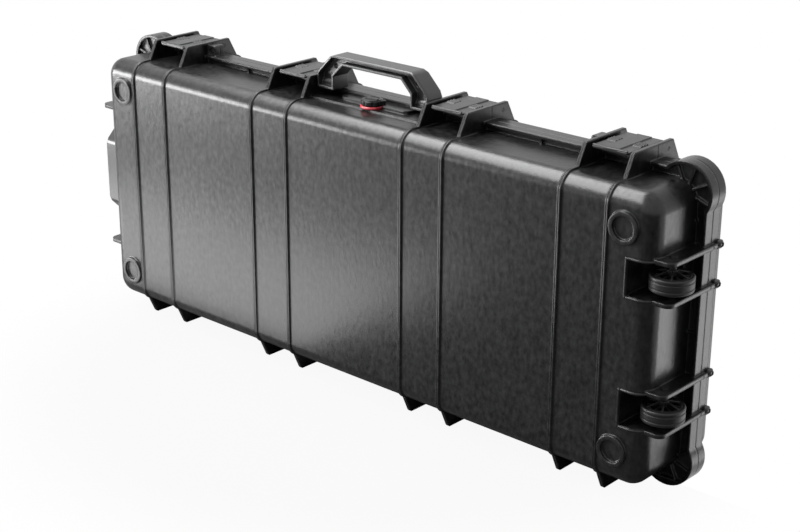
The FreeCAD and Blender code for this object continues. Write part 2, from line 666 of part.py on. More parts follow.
def base_shell():
    """The deep half."""
    tub = rounded_tub("base_tub", "half_length", "half_height", "corner_round",
                      ("base_face", "base_rim"), "base_face", "base_round")
    rib_y = ("base_face - rib_height", "base_rim")
    loop = block("base_rib_loop_block", about("0", "pair_outer + pair_gap"), rib_y,
                 about("mid", "half_height + rib_height"))
    envelope = rounded("base_rib_loop", loop, "base_round + rib_height", both(along("x"), at("y", rib_y[0])))
    along_case = about("0", "half_length")
    top_fin = prism("base_top_fin", "x", (
        ("base_face + fin_start", "wall_inside"),
        ("base_face + fin_start", "wall_top"),
        ("base_face + fin_shoulder", "fin_peak - fin_break"),
        ("base_face + fin_shoulder + fin_break", "fin_peak"),
        ("base_rim", "fin_peak"),
        ("base_rim", "wall_inside"),
    ), along_case)
    bottom_fin = prism("base_bottom_fin", "x", (
        ("base_face + fin_heel", "wall_bottom + fin_sink"),
        ("base_face + fin_toe", "fin_break"),
        ("base_face + fin_toe + fin_break", "0"),
        ("parting - hinge_clear - fin_slope", "0"),
        ("parting - hinge_clear", "flange_bottom"),
        ("parting - hinge_clear", "wall_bottom + tub_wall"),
        ("base_face + base_round", "wall_bottom + tub_wall"),
    ), along_case)
    slab_y = ("base_face - rib_height - %s" % CUT_THROUGH, "base_rim")
    rib_set = ribs("base", envelope, [top_fin, bottom_fin], slab_y)
    ledge = block("ledge", about("0", "fin_inner_x + rib_width / 2"),
                  ("ledge_front", "flange_front + flange_rim"), ("wall_inside", "ledge_top"))
    pad_box = block("pad_block", about("0", "pad_half"),
                    ("pad_front", "flange_front + flange_rim"),
                    ("wall_inside", "ledge_top + pad_height"))
    pad = rounded("pad_rounded", pad_box, "pad_round",
                  both(along("z"), at("y", "pad_front")))
    seat = rod("valve_seat", "z", "ring_radius + ring_room", ("ledge_top", "fin_peak"), ("0", "valve_y"))
    notched_pad = cut("pad", pad, [seat])
    bead = seal_ring("bead", "bead_width", ("base_rim - %s" % CUT_THROUGH, "base_rim + bead_height"))
    outside = fuse("base_outside", [tub, rib_set, ledge, notched_pad, bead]
                   + flange("base", "base_rim", "-") + shelves() + feet())
    cavity_box = rounded_tub("base_cavity", "half_length - tub_wall", "half_height - tub_wall",
                             "corner_round - tub_wall",
                             ("base_face + tub_wall", "base_rim + bead_height + %s" % OVER),
                             "base_face + tub_wall", "base_round - tub_wall")
    cavity = cut("base_cavity_clear", cavity_box, wheel_bays("bay_wall", "tub_wall"))
    pivots = [
        rod("top_handle_bore_%s" % side, "x", "handle_pin",
            about(mirror("pair_inner - pair_gap / 2"), "rib_width"), ("top_pivot_y", "top_pivot_z"))
        for side, mirror in SIDES
    ]
    pivots += [
        rod("end_handle_bore_%s" % level, "z", "handle_pin", (low, high), ("end_pivot_x", "end_pivot_y"))
        for level, low, high in HANDLE_LUGS
    ]
    axle_bores = [
        rod("axle_bore_%d" % number, "z", "axle_radius", about(middle, "bay_height / 2 + shelf_wall"),
            ("wheel_x", "wheel_y"))
        for number, middle in enumerate(BAY_PLACES, start=1)
    ]
    valve_bore = rod("valve_bore", "z", "valve_stem", ("wall_inside - %s" % OVER, "ledge_top + %s" % OVER),
                     ("0", "valve_y"))
    hollowed = cut("base_hollowed", outside, [cavity] + wheel_bays("bay", "0") + pivots + axle_bores
                   + [valve_bore, hinge_notch("base")] + knuckle_rooms("base", LID_KNUCKLES))
    barrels = knuckles("base", BASE_KNUCKLES, "base_rim", "parting - knuckle_reach")
    hinged = fuse("base_hinged", [hollowed] + barrels)
    moulding = cut("base_moulding", hinged, hinge_bores("base"))
    rest = parted("base", moulding, ("base_face + fin_heel", "flange_front"),
                  ("flange_front", "parting + knuckle_radius + %s" % OVER))
    outer_shelves = shelf_zone()
    keep(common("base_shelf_set", rest, outer_shelves), "base_shelves")
    raised = block("ledge_zone", about("0", "fin_inner_x + rib_width / 2"), ("ledge_front", "flange_front"),
                   ("wall_top", "fin_peak"))
    keep(common("base_ledge_part", rest, raised), "base_ledge")
    keep(cut("base_shell", rest, [outer_shelves, raised]), "base_shell")


# Lid shell and seal


def shelf_ends():
    """Short ends of the shelves, carried on by the lid."""
    solids = []
    y = ("lid_rim", "parting + knob_reach")
    for side, mirror, levels in (("right", str, SHELF_OUTER + SHELF_INNER), ("left", minus, SHELF_OUTER)):
        span = [mirror("half_length - tub_wall / 2"), mirror("shelf_x")]
        x = span if side == "right" else span[::-1]
        edge = both(along("z"), at("x", mirror("shelf_x")), at("y", y[1]))
        for level, low, high in levels:
            box = block("shelf_end_block_%s_%s" % (side, level), x, y, (low, high))
            solids.append(rounded("shelf_end_%s_%s" % (side, level), box, "knob_round", edge))
    return solids


def lid_shell():
    """The shallow half."""
    tub = rounded_tub("lid_tub", "half_length", "half_height", "corner_round",
                      ("lid_rim", "lid_face"), "lid_face", "lid_round")
    rib_y = ("lid_rim", "lid_face + rib_height")
    loop = block("lid_rib_loop_block", about("0", "pair_outer + pair_gap"), rib_y,
                 about("mid", "half_height + rib_height"))
    envelope = rounded("lid_rib_loop", loop, "lid_round + rib_height", both(along("x"), at("y", rib_y[1])))
    along_case = about("0", "half_length")
    top_fin = prism("lid_top_fin", "x", (
        ("lid_rim", "wall_inside"),
        ("lid_rim", "fin_peak"),
        ("lid_face - lid_fin_peak", "fin_peak"),
        ("lid_face - lid_fin_foot", "wall_top - fin_sink / 2"),
        ("lid_face - lid_round", "wall_inside"),
    ), along_case)
    bottom_fin = prism("lid_bottom_fin", "x", (
        ("parting + hinge_clear", "wall_bottom + tub_wall"),
        ("parting + hinge_clear", "flange_bottom"),
        ("parting + hinge_clear + fin_slope", "0"),
        ("lid_face - lid_fin_peak", "0"),
        ("lid_face - lid_fin_foot", "wall_bottom + fin_sink / 2"),
        ("lid_face - lid_round", "wall_bottom + tub_wall"),
    ), along_case)
    slab_y = ("lid_rim", "lid_face + rib_height + %s" % CUT_THROUGH)
    rib_set = ribs("lid", envelope, [top_fin, bottom_fin], slab_y)
    outside = fuse("lid_outside", [tub, rib_set] + flange("lid", "lid_rim", "+") + shelf_ends())
    cavity = rounded_tub("lid_cavity", "half_length - tub_wall", "half_height - tub_wall",
                         "corner_round - tub_wall", ("lid_rim - %s" % OVER, "lid_face - tub_wall"),
                         "lid_face - tub_wall", "lid_round - tub_wall")
    groove = seal_ring("seal_groove", "seal_width", ("lid_rim - %s" % CUT_THROUGH, "lid_rim + seal_depth"))
    sockets = [
        rod("socket_%s_%s" % (side, level), "y", "socket_radius",
            ("lid_face - socket_depth", "lid_face + rib_height + %s" % CUT_THROUGH),
            (mirror("half_length - foot_inset_x"), z))
        for side, mirror in SIDES
        for level, z in (("top", "wall_top - foot_inset_z"), ("bottom", "wall_bottom + foot_inset_z"))
    ]
    latch_bores = [
        rod("latch_bore_%d" % number, "x", "latch_pin", about(middle, "pair_gap / 2 + rib_width"),
            ("latch_y", "latch_z"))
        for number, middle in enumerate(LATCH_PLACES, start=1)
    ]
    hollowed = cut("lid_hollowed", outside, [cavity, groove] + sockets + latch_bores
                   + [hinge_notch("lid")] + knuckle_rooms("lid", BASE_KNUCKLES))
    barrels = knuckles("lid", LID_KNUCKLES, "lid_rim", "parting + knuckle_reach")
    hinged = fuse("lid_hinged", [hollowed] + barrels)
    moulding = cut("lid_moulding", hinged, hinge_bores("lid"))
    mouth = "lid_rim + flange_thick"
    rest = parted("lid", moulding, (mouth, "lid_face - lid_fin_foot"),
                  ("parting - knuckle_radius - %s" % OVER, mouth))
    keep(rest, "lid_shell")


def lid_seal():
    """The rubber seal at the bottom of the lid's groove."""
    y = ("base_rim + bead_height + parting_gap", "lid_rim + seal_depth")
    keep(seal_ring("seal", "seal_width", y), "lid_seal")


def hinge_pins():
    """One pin for each set of knuckles."""
    pins = [
        rod("hinge_pin_%d" % number, "x", "hinge_pin", about(middle, HALF_BAY), ("parting", "hinge_z"))
        for number, middle in enumerate(LATCH_PLACES, start=1)
    ]
    keep(group("hinge_pin_set", pins), "hinge_pins")


def padlock_eyes():
    """Tabs beside the outer latches that a padlock goes through, with steel sleeves in their eyes."""
    for half, y in (("base", ("base_rim - tab_wall", "base_rim")),
                    ("lid", ("lid_rim", "lid_rim + tab_wall"))):
        tabs = []
        sleeves = []
        for side, mirror in SIDES:
            name = "%s_tab_%s" % (half, side)
            span = [mirror("tab_x - tab_width"), mirror("tab_x - rib_width / 2")]
            x = span if side == "right" else span[::-1]
            box = block(name + "_block", x, y, ("flange_top", "tab_top"))
            corner = both(along("y"), at("z", "tab_top"), at("x", mirror("tab_x - tab_width")))
            eye = (mirror("eye_x"), "eye_z")
            tabs.append(cut(name, rounded(name + "_round", box, "tab_round", corner),
                            [rod(name + "_eye", "y", "eye_bore", y, eye)]))
            sleeves.append(tube("%s_sleeve_%s" % (half, side), "y", "eye_bore", "eye_radius", y, eye))
        keep(group(half + "_tab_set", tabs), "padlock_tabs_" + half)
        keep(group(half + "_sleeve_set", sleeves), "padlock_sleeves_" + half)


# Latches


def latch_lever(number, middle):
    """The lever that is pulled, on its pivot pin in the lid."""
    name = "lever_%d" % number
    plate_box = block(name + "_plate_block", about(middle, "lever_half"),
                      ("lever_front", "latch_y + lever_plate"), ("lever_bottom", "lever_top"))
    plate = rounded(name + "_plate", plate_box, "lever_lip_wall", both(along("z"), at("y", "lever_front")))
    lip = block(name + "_lip", about(middle, "lever_half - lever_lip_wall"),
                ("lever_front", "lever_front + lever_lip_wall"), ("lever_bottom - lever_lip", "lever_bottom"))
    cheeks = []
    steps = []
    for side, sign in (("left", "-"), ("right", "+")):
        inner = "%s %s (lever_half - lever_cheek)" % (middle, sign)
        outer = "%s %s lever_half" % (middle, sign)
        panel = "%s %s panel_half" % (middle, sign)
        x = (outer, panel) if sign == "-" else (panel, outer)
        steps.append(block("%s_step_%s" % (name, side), x, ("lever_front", "latch_y + lever_plate"),
                           ("lever_top - panel_rise", "lever_top")))
        x = (outer, inner) if sign == "-" else (inner, outer)
        cheeks.append(block("%s_cheek_%s" % (name, side), x, ("link_y - lever_boss", "latch_y"),
                            ("flange_top + cheek_gap", "lever_bottom")))
        cheeks.append(rod("%s_boss_%s" % (name, side), "x", "lever_boss", x, ("latch_y", "latch_z")))
    wide = about(middle, "lever_half")
    bores = [rod(name + "_pivot_bore", "x", "latch_pin + pin_play", wide, ("latch_y", "latch_z")),
             rod(name + "_link_bore", "x", "latch_pin", wide, ("link_y", "link_z"))]
    keep(cut(name, fuse(name + "_solid", [plate, lip] + cheeks), steps + bores), "latch_lever_%d" % number)


def latch_jaw(number, middle):
    """The hook under the lever, drawn hooked and then rocked up about the link pin."""
    name = "jaw_%d" % number
    x = about("0", "jaw_half")
    under = "jaw_over - link_rise"
    tooth_back = "flange_front - keeper_gap - link_y"
    tooth_front = tooth_back + " - jaw_tooth"
    plate = block(name + "_plate", x, (tooth_front, "0"), (under, under + " + jaw_plate"))
    tooth = block(name + "_tooth", x, (tooth_front, tooth_back), ("-(link_rise) - jaw_bite", under))
    boss = rod(name + "_boss", "x", "jaw_boss", x, ("0", "0"))
    bore = rod(name + "_bore", "x", "latch_pin + pin_play", x, ("0", "0"))
    jaw = cut(name, fuse(name + "_solid", [plate, tooth, boss]), [bore])
    jaw.Placement = FreeCAD.Placement(FreeCAD.Vector(), FreeCAD.Rotation(-AXIS_X, size("jaw_lift")))
    keep(place(jaw, middle, "link_y", "link_z"), "latch_jaw_%d" % number)


def latches():
    """Four latches with their pins."""
    for number, middle in enumerate(LATCH_PLACES, start=1):
        latch_lever(number, middle)
        latch_jaw(number, middle)
        keep(rod("link_pin_%d" % number, "x", "latch_pin", about(middle, "lever_half"), ("link_y", "link_z")),
             "latch_link_pin_%d" % number)
    pins = [
        rod("pivot_pin_%d" % number, "x", "latch_pin", about(middle, "pair_gap / 2 + rib_width / 2"),
            ("latch_y", "latch_z"))
        for number, middle in enumerate(LATCH_PLACES, start=1)
    ]
    keep(group("pivot_pin_set", pins), "latch_pivot_pins")


# Handles


def handle(name, carrier):
    """A carrying handle on the X axis, reaching up, between two carriers."""
    half_depth = "handle_depth / 2"
    handle_half = carrier + " - handle_shoulder"
    opening_half = handle_half + " - handle_leg"
    right = (
        (handle_half, "-(leg_drop)"),
        (handle_half, "handle_reach - handle_cut - handle_blend"),
        (handle_half + " - blend_step", "handle_reach - handle_cut + blend_step"),
        (handle_half + " - handle_cut + blend_step", "handle_reach - blend_step"),
        (handle_half + " - handle_cut - handle_blend", "handle_reach"),
    )
    inner_right = (
        (opening_half + " - opening_cut", "handle_inner"),
        (opening_half, "handle_inner - opening_cut"),
        (opening_half, "-(leg_drop)"),
    )
    mirrored = [(minus(u), v) for u, v in reversed(right)]
    inner_mirrored = [(minus(u), v) for u, v in reversed(inner_right)]
    frame = prism(name + "_frame", "y", list(right) + mirrored + inner_mirrored + list(inner_right),
                  about("0", half_depth))
    inside = (size(opening_half) + size(handle_half)) / 2
    above = (size("handle_inner") + size("handle_reach")) / 2

    def outer_edge(edge):
        middle = edge.BoundBox.Center
        flat = at("y", half_depth)(edge) or at("y", minus(half_depth))(edge)
        return flat and (middle.z > above or abs(middle.x) > inside) and middle.z > NEAR

    smooth = rounded(name + "_smooth", frame, "handle_edge", outer_edge)
    bosses = []
    for side, mirror in SIDES:
        span = [mirror(opening_half), mirror(carrier + " - side_play")]
        x = span if side == "right" else span[::-1]
        bosses.append(rod("%s_boss_%s" % (name, side), "x", "handle_boss", x, ("0", "0")))
    groove = [
        (handle_half + " - handle_band", "groove_end"),
        (handle_half + " - handle_band", "handle_reach - handle_cut - handle_band / 2"),
        (handle_half + " - handle_cut - handle_band / 2", "handle_reach - handle_band"),
    ]
    groove_inner = [
        (opening_half + " - opening_cut + handle_band / 2", "handle_inner + handle_band"),
        (opening_half + " + handle_band", "handle_inner - opening_cut + handle_band / 2"),
        (opening_half + " + handle_band", "groove_end"),
    ]
    outline = (groove + [(minus(u), v) for u, v in reversed(groove)]
               + [(minus(u), v) for u, v in reversed(groove_inner)] + groove_inner)
    grooves = [
        prism(name + "_groove_front", "y", outline,
              ("-(%s) - %s" % (half_depth, CUT_THROUGH), "-(handle_web / 2)")),
        prism(name + "_groove_back", "y", outline,
              ("handle_web / 2", "%s + %s" % (half_depth, CUT_THROUGH))),
    ]
    corner_x = "(%s - handle_cut / 2 + %s - opening_cut / 2) / 2" % (handle_half, opening_half)
    corner_z = "(handle_reach - handle_cut / 2 + handle_inner - opening_cut / 2) / 2"
    holes = [
        rod("%s_hole_%s" % (name, side), "y", "handle_hole", about("0", half_depth),
            (mirror(corner_x), corner_z))
        for side, mirror in SIDES
    ]
    bores = []
    for side, mirror in SIDES:
        span = [mirror(carrier + " - handle_pin_depth"), mirror(carrier)]
        x = span if side == "right" else span[::-1]
        bores.append(rod("%s_bore_%s" % (name, side), "x", "handle_pin + pin_play", x, ("0", "0")))
    grooved = cut(name + "_grooved", smooth, grooves + holes)
    return cut(name, fuse(name + "_solid", [grooved] + bosses), bores)


def handle_pins(name, axis, carrier, thick, centre):
    """Two pins, fixed in the carriers, that a handle turns on."""
    pins = []
    for side, mirror in SIDES:
        middle = "mid" if axis == "z" else "0"
        ends = ["%s + (%s)" % (middle, mirror(carrier + " - handle_pin_depth + side_play")),
                "%s + (%s)" % (middle, mirror("%s + %s" % (carrier, thick)))]
        span = ends if side == "right" else ends[::-1]
        pins.append(rod("%s_%s" % (name, side), axis, "handle_pin", span, centre))
    keep(group(name + "_set", pins), name)


def handles():
    """The top handle, standing up, and the end handle, folded against the end wall."""
    top = handle("handle_top", "fin_inner_x")
    keep(place(top, "0", "top_pivot_y", "top_pivot_z"), "top_handle")
    handle_pins("top_handle_pins", "x", "fin_inner_x", "rib_width", ("top_pivot_y", "top_pivot_z"))
    end = handle("handle_end", "lug_place")
    end.Placement = FreeCAD.Placement(FreeCAD.Vector(), FreeCAD.Rotation(AXIS_Z, -AXIS_X, -AXIS_Y))
    keep(place(end, "end_pivot_x", "end_pivot_y", "mid"), "end_handle")
    handle_pins("end_handle_pins", "z", "lug_place", "shelf_wall", ("end_pivot_x", "end_pivot_y"))


# Wheels

SPOKES = 6
FULL_TURN = 360
HALF_SPOKE = FULL_TURN / SPOKES / 2
TREAD_STEPS = (-1, 1)


def wheel(number, bay):
    """A spoked hub with its tyre, on a sleeve that turns on the axle."""
    centre = ("wheel_x", "wheel_y")
    middle = bay + " - wheel_drop"
    z = about(middle, "wheel_width / 2")
    hub_radius = "wheel_radius - tyre_wall"
    disc = rod("hub_disc_%d" % number, "z", hub_radius, z, centre)
    windows = []
    for spoke in range(SPOKES):
        near = ("hub_boss", "hub_boss * tan(%d deg) - spoke_wall / 2" % HALF_SPOKE)
        far = ("(%s - hub_rim) * cos(%d deg)" % (hub_radius, HALF_SPOKE),
               "(%s - hub_rim) * sin(%d deg) - spoke_wall / 2" % (hub_radius, HALF_SPOKE))
        window = prism("hub_window_%d_%d" % (number, spoke), "z",
                       (near, far, (far[0], minus(far[1])), (near[0], minus(near[1]))), z)
        turned = group(window.Name + "_turned", [window])
        turned.Placement = FreeCAD.Placement(FreeCAD.Vector(),
                                             FreeCAD.Rotation(AXIS_Z, spoke * FULL_TURN / SPOKES))
        windows.append(place(turned, centre[0], centre[1], "0"))
    bore = rod("hub_bore_%d" % number, "z", "axle_radius + pin_play + sleeve_wall", z, centre)
    keep(cut("hub_%d" % number, disc, windows + [bore]), "wheel_hub_%d" % number)
    tread = rounded("tread_%d" % number, rod("tread_block_%d" % number, "z", "wheel_radius", z, centre),
                    "tyre_round", lambda edge: edge.Closed)
    grooves = [
        tube("tread_groove_%d_%d" % (number, step), "z", "wheel_radius + %s" % CUT_THROUGH,
             "wheel_radius - tread_depth",
             about("%s + (%d) * tread_pitch" % (middle, step), "tread_groove / 2"), centre)
        for step in TREAD_STEPS
    ]
    inside = rod("tyre_bore_%d" % number, "z", hub_radius, z, centre)
    keep(cut("tyre_%d" % number, tread, [inside] + grooves), "wheel_tyre_%d" % number)
    keep(tube("sleeve_%d" % number, "z", "axle_radius + pin_play + sleeve_wall", "axle_radius + pin_play",
              about(bay, "bay_height / 2 - side_play"), centre), "wheel_sleeve_%d" % number)
    reach = "bay_height / 2 + shelf_wall"
    shaft = rod("axle_shaft_%d" % number, "z", "axle_radius", about(bay, reach + " + axle_cap"), centre)
    heads = [
        rod("axle_head_%d_top" % number, "z", "axle_head",
            ("%s + %s" % (bay, reach), "%s + %s + axle_cap" % (bay, reach)), centre),
        rod("axle_head_%d_bottom" % number, "z", "axle_head",
            ("%s - (%s) - axle_cap" % (bay, reach), "%s - (%s)" % (bay, reach)), centre),
    ]
    keep(fuse("axle_%d" % number, [shaft] + heads), "wheel_axle_%d" % number)


# Purge valve

KNOB_NOTCHES = 8


def valve():
    """The valve through the wall in front of the top handle."""
    centre = ("0", "valve_y")
    stem_end = "wall_inside - valve_inside"
    stem = rod("stem", "z", "valve_stem", (stem_end, "head_top"), centre)
    head = rod("stem_head", "z", "valve_head", ("ledge_top", "head_top"), centre)
    spindle = rod("spindle", "z", "valve_spindle", ("head_top", "head_top + valve_spindle_rise"), centre)
    seat = rod("vent_seat", "z", "vent_radius", (stem_end, stem_end + " + vent_height"), centre)
    keep(cut("valve_stem_solid", fuse("stem_solid", [stem, head, spindle]), [seat]), "valve_body")
    keep(rod("vent", "z", "vent_radius", (stem_end, stem_end + " + vent_height"), centre), "valve_vent")
    ring = tube("foot_ring_block", "z", "ring_radius", "valve_head",
                ("ledge_top", "ledge_top + ring_height"), centre)
    outside = size("ring_radius")
    keep(rounded("foot_ring", ring, "ring_round",
                 lambda edge: edge.Closed and edge.BoundBox.XLength > 2 * outside - NEAR), "valve_ring")
    nut = doc.addObject("Part::Prism", "nut_block")
    nut.Polygon = 6
    bind(nut, "Circumradius", "nut_radius")
    bind(nut, "Height", "nut_height")
    place(nut, "0", "valve_y", "wall_inside - nut_height")
    nut_bore = rod("nut_bore", "z", "valve_stem", ("wall_inside - nut_height", "wall_inside"), centre)
    keep(cut("nut", nut, [nut_bore]), "valve_nut")
    cap = rod("cap_block", "z", "knob_radius", ("knob_bottom", "knob_bottom + knob_height"), centre)
    cap_top = rounded("cap", cap, "knob_edge", at("z", "knob_bottom + knob_height"))
    notches = []
    for step in range(KNOB_NOTCHES):
        turn = step * FULL_TURN / KNOB_NOTCHES
        notches.append(rod("cap_notch_%d" % step, "z", "knob_notch",
                           ("knob_bottom", "knob_bottom + knob_height"),
                           ("(knob_radius + knob_notch / 2) * cos(%d deg)" % turn,
                            "valve_y + (knob_radius + knob_notch / 2) * sin(%d deg)" % turn)))
    bore = rod("cap_bore", "z", "valve_spindle + pin_play",
               ("knob_bottom", "head_top + valve_spindle_rise + side_play"), centre)
    keep(cut("cap_notched", cap_top, notches + [bore]), "valve_knob")


base_shell()
lid_shell()
lid_seal()
hinge_pins()
padlock_eyes()
latches()
handles()
for wheel_number, bay_place in enumerate(BAY_PLACES, start=1):
    wheel(wheel_number, bay_place)
valve()
doc.recompute()

# Every object has to be sound before anything is written
for item in doc.Objects:
    if "Invalid" in item.State or "Error" in item.State:
        raise RuntimeError("%s did not rebuild: %s" % (item.Label, item.State))
for item in SUBPARTS:
    if item.Shape.isNull() or not item.Shape.isValid():
        raise RuntimeError("%s has no sound shape" % item.Label)

os.makedirs("parts", exist_ok=True)
for item in SUBPARTS:
    item.Shape.exportStep("parts/%s.step" % item.Label)
    print("%-24s %d solids, %.1f cm3" % (item.Label, len(item.Shape.Solids), item.Shape.Volume / 1000))
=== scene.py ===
import json
import logging
import math
from collections.abc import Callable
from dataclasses import dataclass
from enum import Enum

import bpy
from mathutils import Matrix, Vector

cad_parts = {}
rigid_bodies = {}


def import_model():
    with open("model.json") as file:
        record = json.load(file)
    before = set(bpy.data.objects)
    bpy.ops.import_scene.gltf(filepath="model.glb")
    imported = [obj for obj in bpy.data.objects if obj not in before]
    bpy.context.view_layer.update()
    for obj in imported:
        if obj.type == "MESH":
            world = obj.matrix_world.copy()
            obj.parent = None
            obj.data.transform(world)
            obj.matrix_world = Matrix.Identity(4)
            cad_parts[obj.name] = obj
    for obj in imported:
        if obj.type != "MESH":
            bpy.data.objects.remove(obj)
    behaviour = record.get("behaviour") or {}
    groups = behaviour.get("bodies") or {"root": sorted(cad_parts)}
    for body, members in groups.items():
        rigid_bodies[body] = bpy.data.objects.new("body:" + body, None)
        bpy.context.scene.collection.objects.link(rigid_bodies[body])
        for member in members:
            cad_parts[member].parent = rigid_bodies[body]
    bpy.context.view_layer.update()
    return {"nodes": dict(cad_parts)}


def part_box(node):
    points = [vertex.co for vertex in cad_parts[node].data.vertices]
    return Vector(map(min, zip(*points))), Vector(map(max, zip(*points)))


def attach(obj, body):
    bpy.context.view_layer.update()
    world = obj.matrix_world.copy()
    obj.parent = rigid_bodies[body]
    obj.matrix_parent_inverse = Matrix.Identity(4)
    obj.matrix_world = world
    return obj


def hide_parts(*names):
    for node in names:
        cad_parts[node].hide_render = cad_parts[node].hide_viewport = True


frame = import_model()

MM = 0.001
LATCHES = 4
WHEELS = 2
PAIR_GAP = 65.0 * MM  # rib to rib beside a latch
MERGE = 0.001 * MM  # points nearer than this are one point
FLAT = math.radians(0.3)  # triangles that differ less lie in one plane
SMOOTH = 50.0  # degrees between faces of a rounding that are still shaded smooth
FACING = 0.9  # least part of a face's normal along the axis that the face looks along
OUTWARD = 2.0 * MM  # least product of depth and normal on faces that look out of the case
EDGE_SAMPLES = 6
WHITE = (1.0, 1.0, 1.0, 1.0)
logging.basicConfig(level=logging.INFO, format="%(message)s")
log = logging.getLogger("hard_case")

Triple = tuple[float, float, float]
Feed = float | bpy.types.NodeSocket


class Section(Enum):
    """Halves of the case, by the body that carries them."""

    BASE = "base"
    LID = "lid"


class Slot(Enum):
    """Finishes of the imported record."""

    SHELL = "shell_plastic"
    HANDLE = "handle_plastic"
    LATCH = "latch_plastic"
    WHEEL = "wheel_plastic"
    TYRE = "tyre_rubber"
    SEAL = "seal_rubber"
    STEEL = "pin_steel"
    VALVE = "valve_plastic"
    RED = "valve_red"
    VENT = "vent_cloth"


# Places in the frame


def node_box(name: str) -> tuple[Vector, Vector]:
    """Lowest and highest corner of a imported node."""
    low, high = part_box(name)
    return Vector(low), Vector(high)


def node_middle(name: str) -> Vector:
    """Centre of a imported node's box."""
    low, high = node_box(name)
    return (low + high) / 2


def numbered(stem: str, count: int) -> tuple[str, ...]:
    """Names of pieces that are made several times."""
    return tuple(f"{stem}_{number}" for number in range(1, count + 1))


def rib_places() -> tuple[float, ...]:
    """Where the ribs stand along the case, on both sides of every latch."""
    middles = [node_middle(lever).x for lever in numbered("latch_lever", LATCHES)]
    return tuple(middle + side * PAIR_GAP / 2 for middle in middles for side in (-1, 1))


# Material graphs


@dataclass(frozen=True)
class Pattern:
    """Cloudy noise: its features per metre along each axis, and its octaves."""

    stretch: Triple
    detail: float


GRAIN = Pattern((1500.0, 1500.0, 1500.0), 2.0)
STREAK = Pattern((300.0, 300.0, 14.0), 4.0)
PATCH = Pattern((170.0, 170.0, 120.0), 4.0)
DIMPLE = Pattern((150.0, 150.0, 80.0), 3.0)
DRAWN = Pattern((60.0, 900.0, 900.0), 2.0)


class Graph:
    """Adds and joins nodes of one node tree."""

    def __init__(self, tree: bpy.types.NodeTree) -> None:
        """Start on a tree, without its default nodes.

        Args:
            tree: the node tree to fill.
        """
        self.tree = tree
        tree.nodes.clear()

    def add(self, kind: str, values: dict | None = None, **settings: object) -> bpy.types.Node:
        """Add one node.

        Args:
            kind: Blender's name of the node type.
            values: input socket names or numbers with a value, or a socket to link from.
            settings: properties of the node itself.

        Returns:
            The new node.
        """
        node = self.tree.nodes.new(kind)
        for name, setting in settings.items():
            setattr(node, name, setting)
        for socket, value in (values or {}).items():
            if isinstance(value, bpy.types.NodeSocket):
                self.tree.links.new(value, node.inputs[socket])
            else:
                node.inputs[socket].default_value = value
        return node

    def maths(self, operation: str, first: Feed, second: Feed = 0.0) -> bpy.types.NodeSocket:
        """One arithmetic step.

        Args:
            operation: name of the operation.
            first: a number or a socket.
            second: a number or a socket.

        Returns:
            The result's socket.
        """
        node = self.add("ShaderNodeMath", {0: first, 1: second}, operation=operation)
        return node.outputs[0]

    def noise(self, place: bpy.types.NodeSocket, pattern: Pattern) -> bpy.types.NodeSocket:
        """Cloudy noise on object coordinates.

        Args:
            place: socket with the coordinates.
            pattern: the kind of noise.

        Returns:
            The noise value's socket.
        """
        scaled = self.add("ShaderNodeMapping", {"Vector": place, "Scale": pattern.stretch})
        node = self.add("ShaderNodeTexNoise", {
            "Vector": scaled.outputs[0], "Scale": 1.0, "Detail": pattern.detail})
        return node.outputs[0]


def new_group(name: str, inputs: tuple[str, ...], outputs: tuple[str, ...]) -> bpy.types.NodeTree:
    """An empty node group with its sockets.

    Args:
        name: the group's name.
        inputs: names of its input sockets, where Colour is a colour and the rest are numbers.
        outputs: names of its output sockets, likewise.

    Returns:
        The node group.
    """
    tree = bpy.data.node_groups.new(name, "ShaderNodeTree")
    for way, sockets in (("INPUT", inputs), ("OUTPUT", outputs)):
        for socket in sockets:
            kind = "NodeSocketColor" if socket == "Colour" else "NodeSocketFloat"
            tree.interface.new_socket(socket, in_out=way, socket_type=kind)
    return tree


def moulded_skin_group() -> bpy.types.NodeTree:
    """Skin of moulded plastic: fine grain, dimples, drawn streaks and cloudy patches.

    Returns:
        The node group, made once and shared by the plastics.
    """
    name = "moulded_skin"
    if name in bpy.data.node_groups:
        return bpy.data.node_groups[name]
    tree = new_group(name, ("Colour", "Roughness", "Grain", "Streaks", "Patches", "Blotches", "Mottle"),
                     ("Colour", "Roughness", "Height"))
    graph = Graph(tree)
    given = graph.add("NodeGroupInput").outputs
    place = graph.add("ShaderNodeTexCoord").outputs["Object"]
    streak = graph.maths("SUBTRACT", graph.noise(place, STREAK), 0.5)
    patch = graph.maths("SUBTRACT", graph.noise(place, PATCH), 0.5)
    streak_part = graph.maths("MULTIPLY", streak, given["Streaks"])
    patch_part = graph.maths("MULTIPLY", patch, given["Patches"])
    change = graph.maths("ADD", streak_part, patch_part)
    rough = graph.maths("ADD", given["Roughness"], change)
    tint = graph.add("ShaderNodeMix", {"Factor": 1.0}, data_type="RGBA", blend_type="MULTIPLY")
    tree.links.new(given["Colour"], tint.inputs["A"])
    level = graph.maths("ADD", 1.0, graph.maths("MULTIPLY", change, given["Blotches"]))
    grey = graph.add("ShaderNodeCombineColor", {0: level, 1: level, 2: level})
    tree.links.new(grey.outputs[0], tint.inputs["B"])
    grain_part = graph.maths("MULTIPLY", graph.noise(place, GRAIN), given["Grain"])
    dimple_part = graph.maths("MULTIPLY", graph.noise(place, DIMPLE), given["Mottle"])
    height = graph.maths("ADD", grain_part, dimple_part)
    graph.add("NodeGroupOutput", {"Colour": tint.outputs["Result"], "Roughness": rough, "Height": height})
    return tree


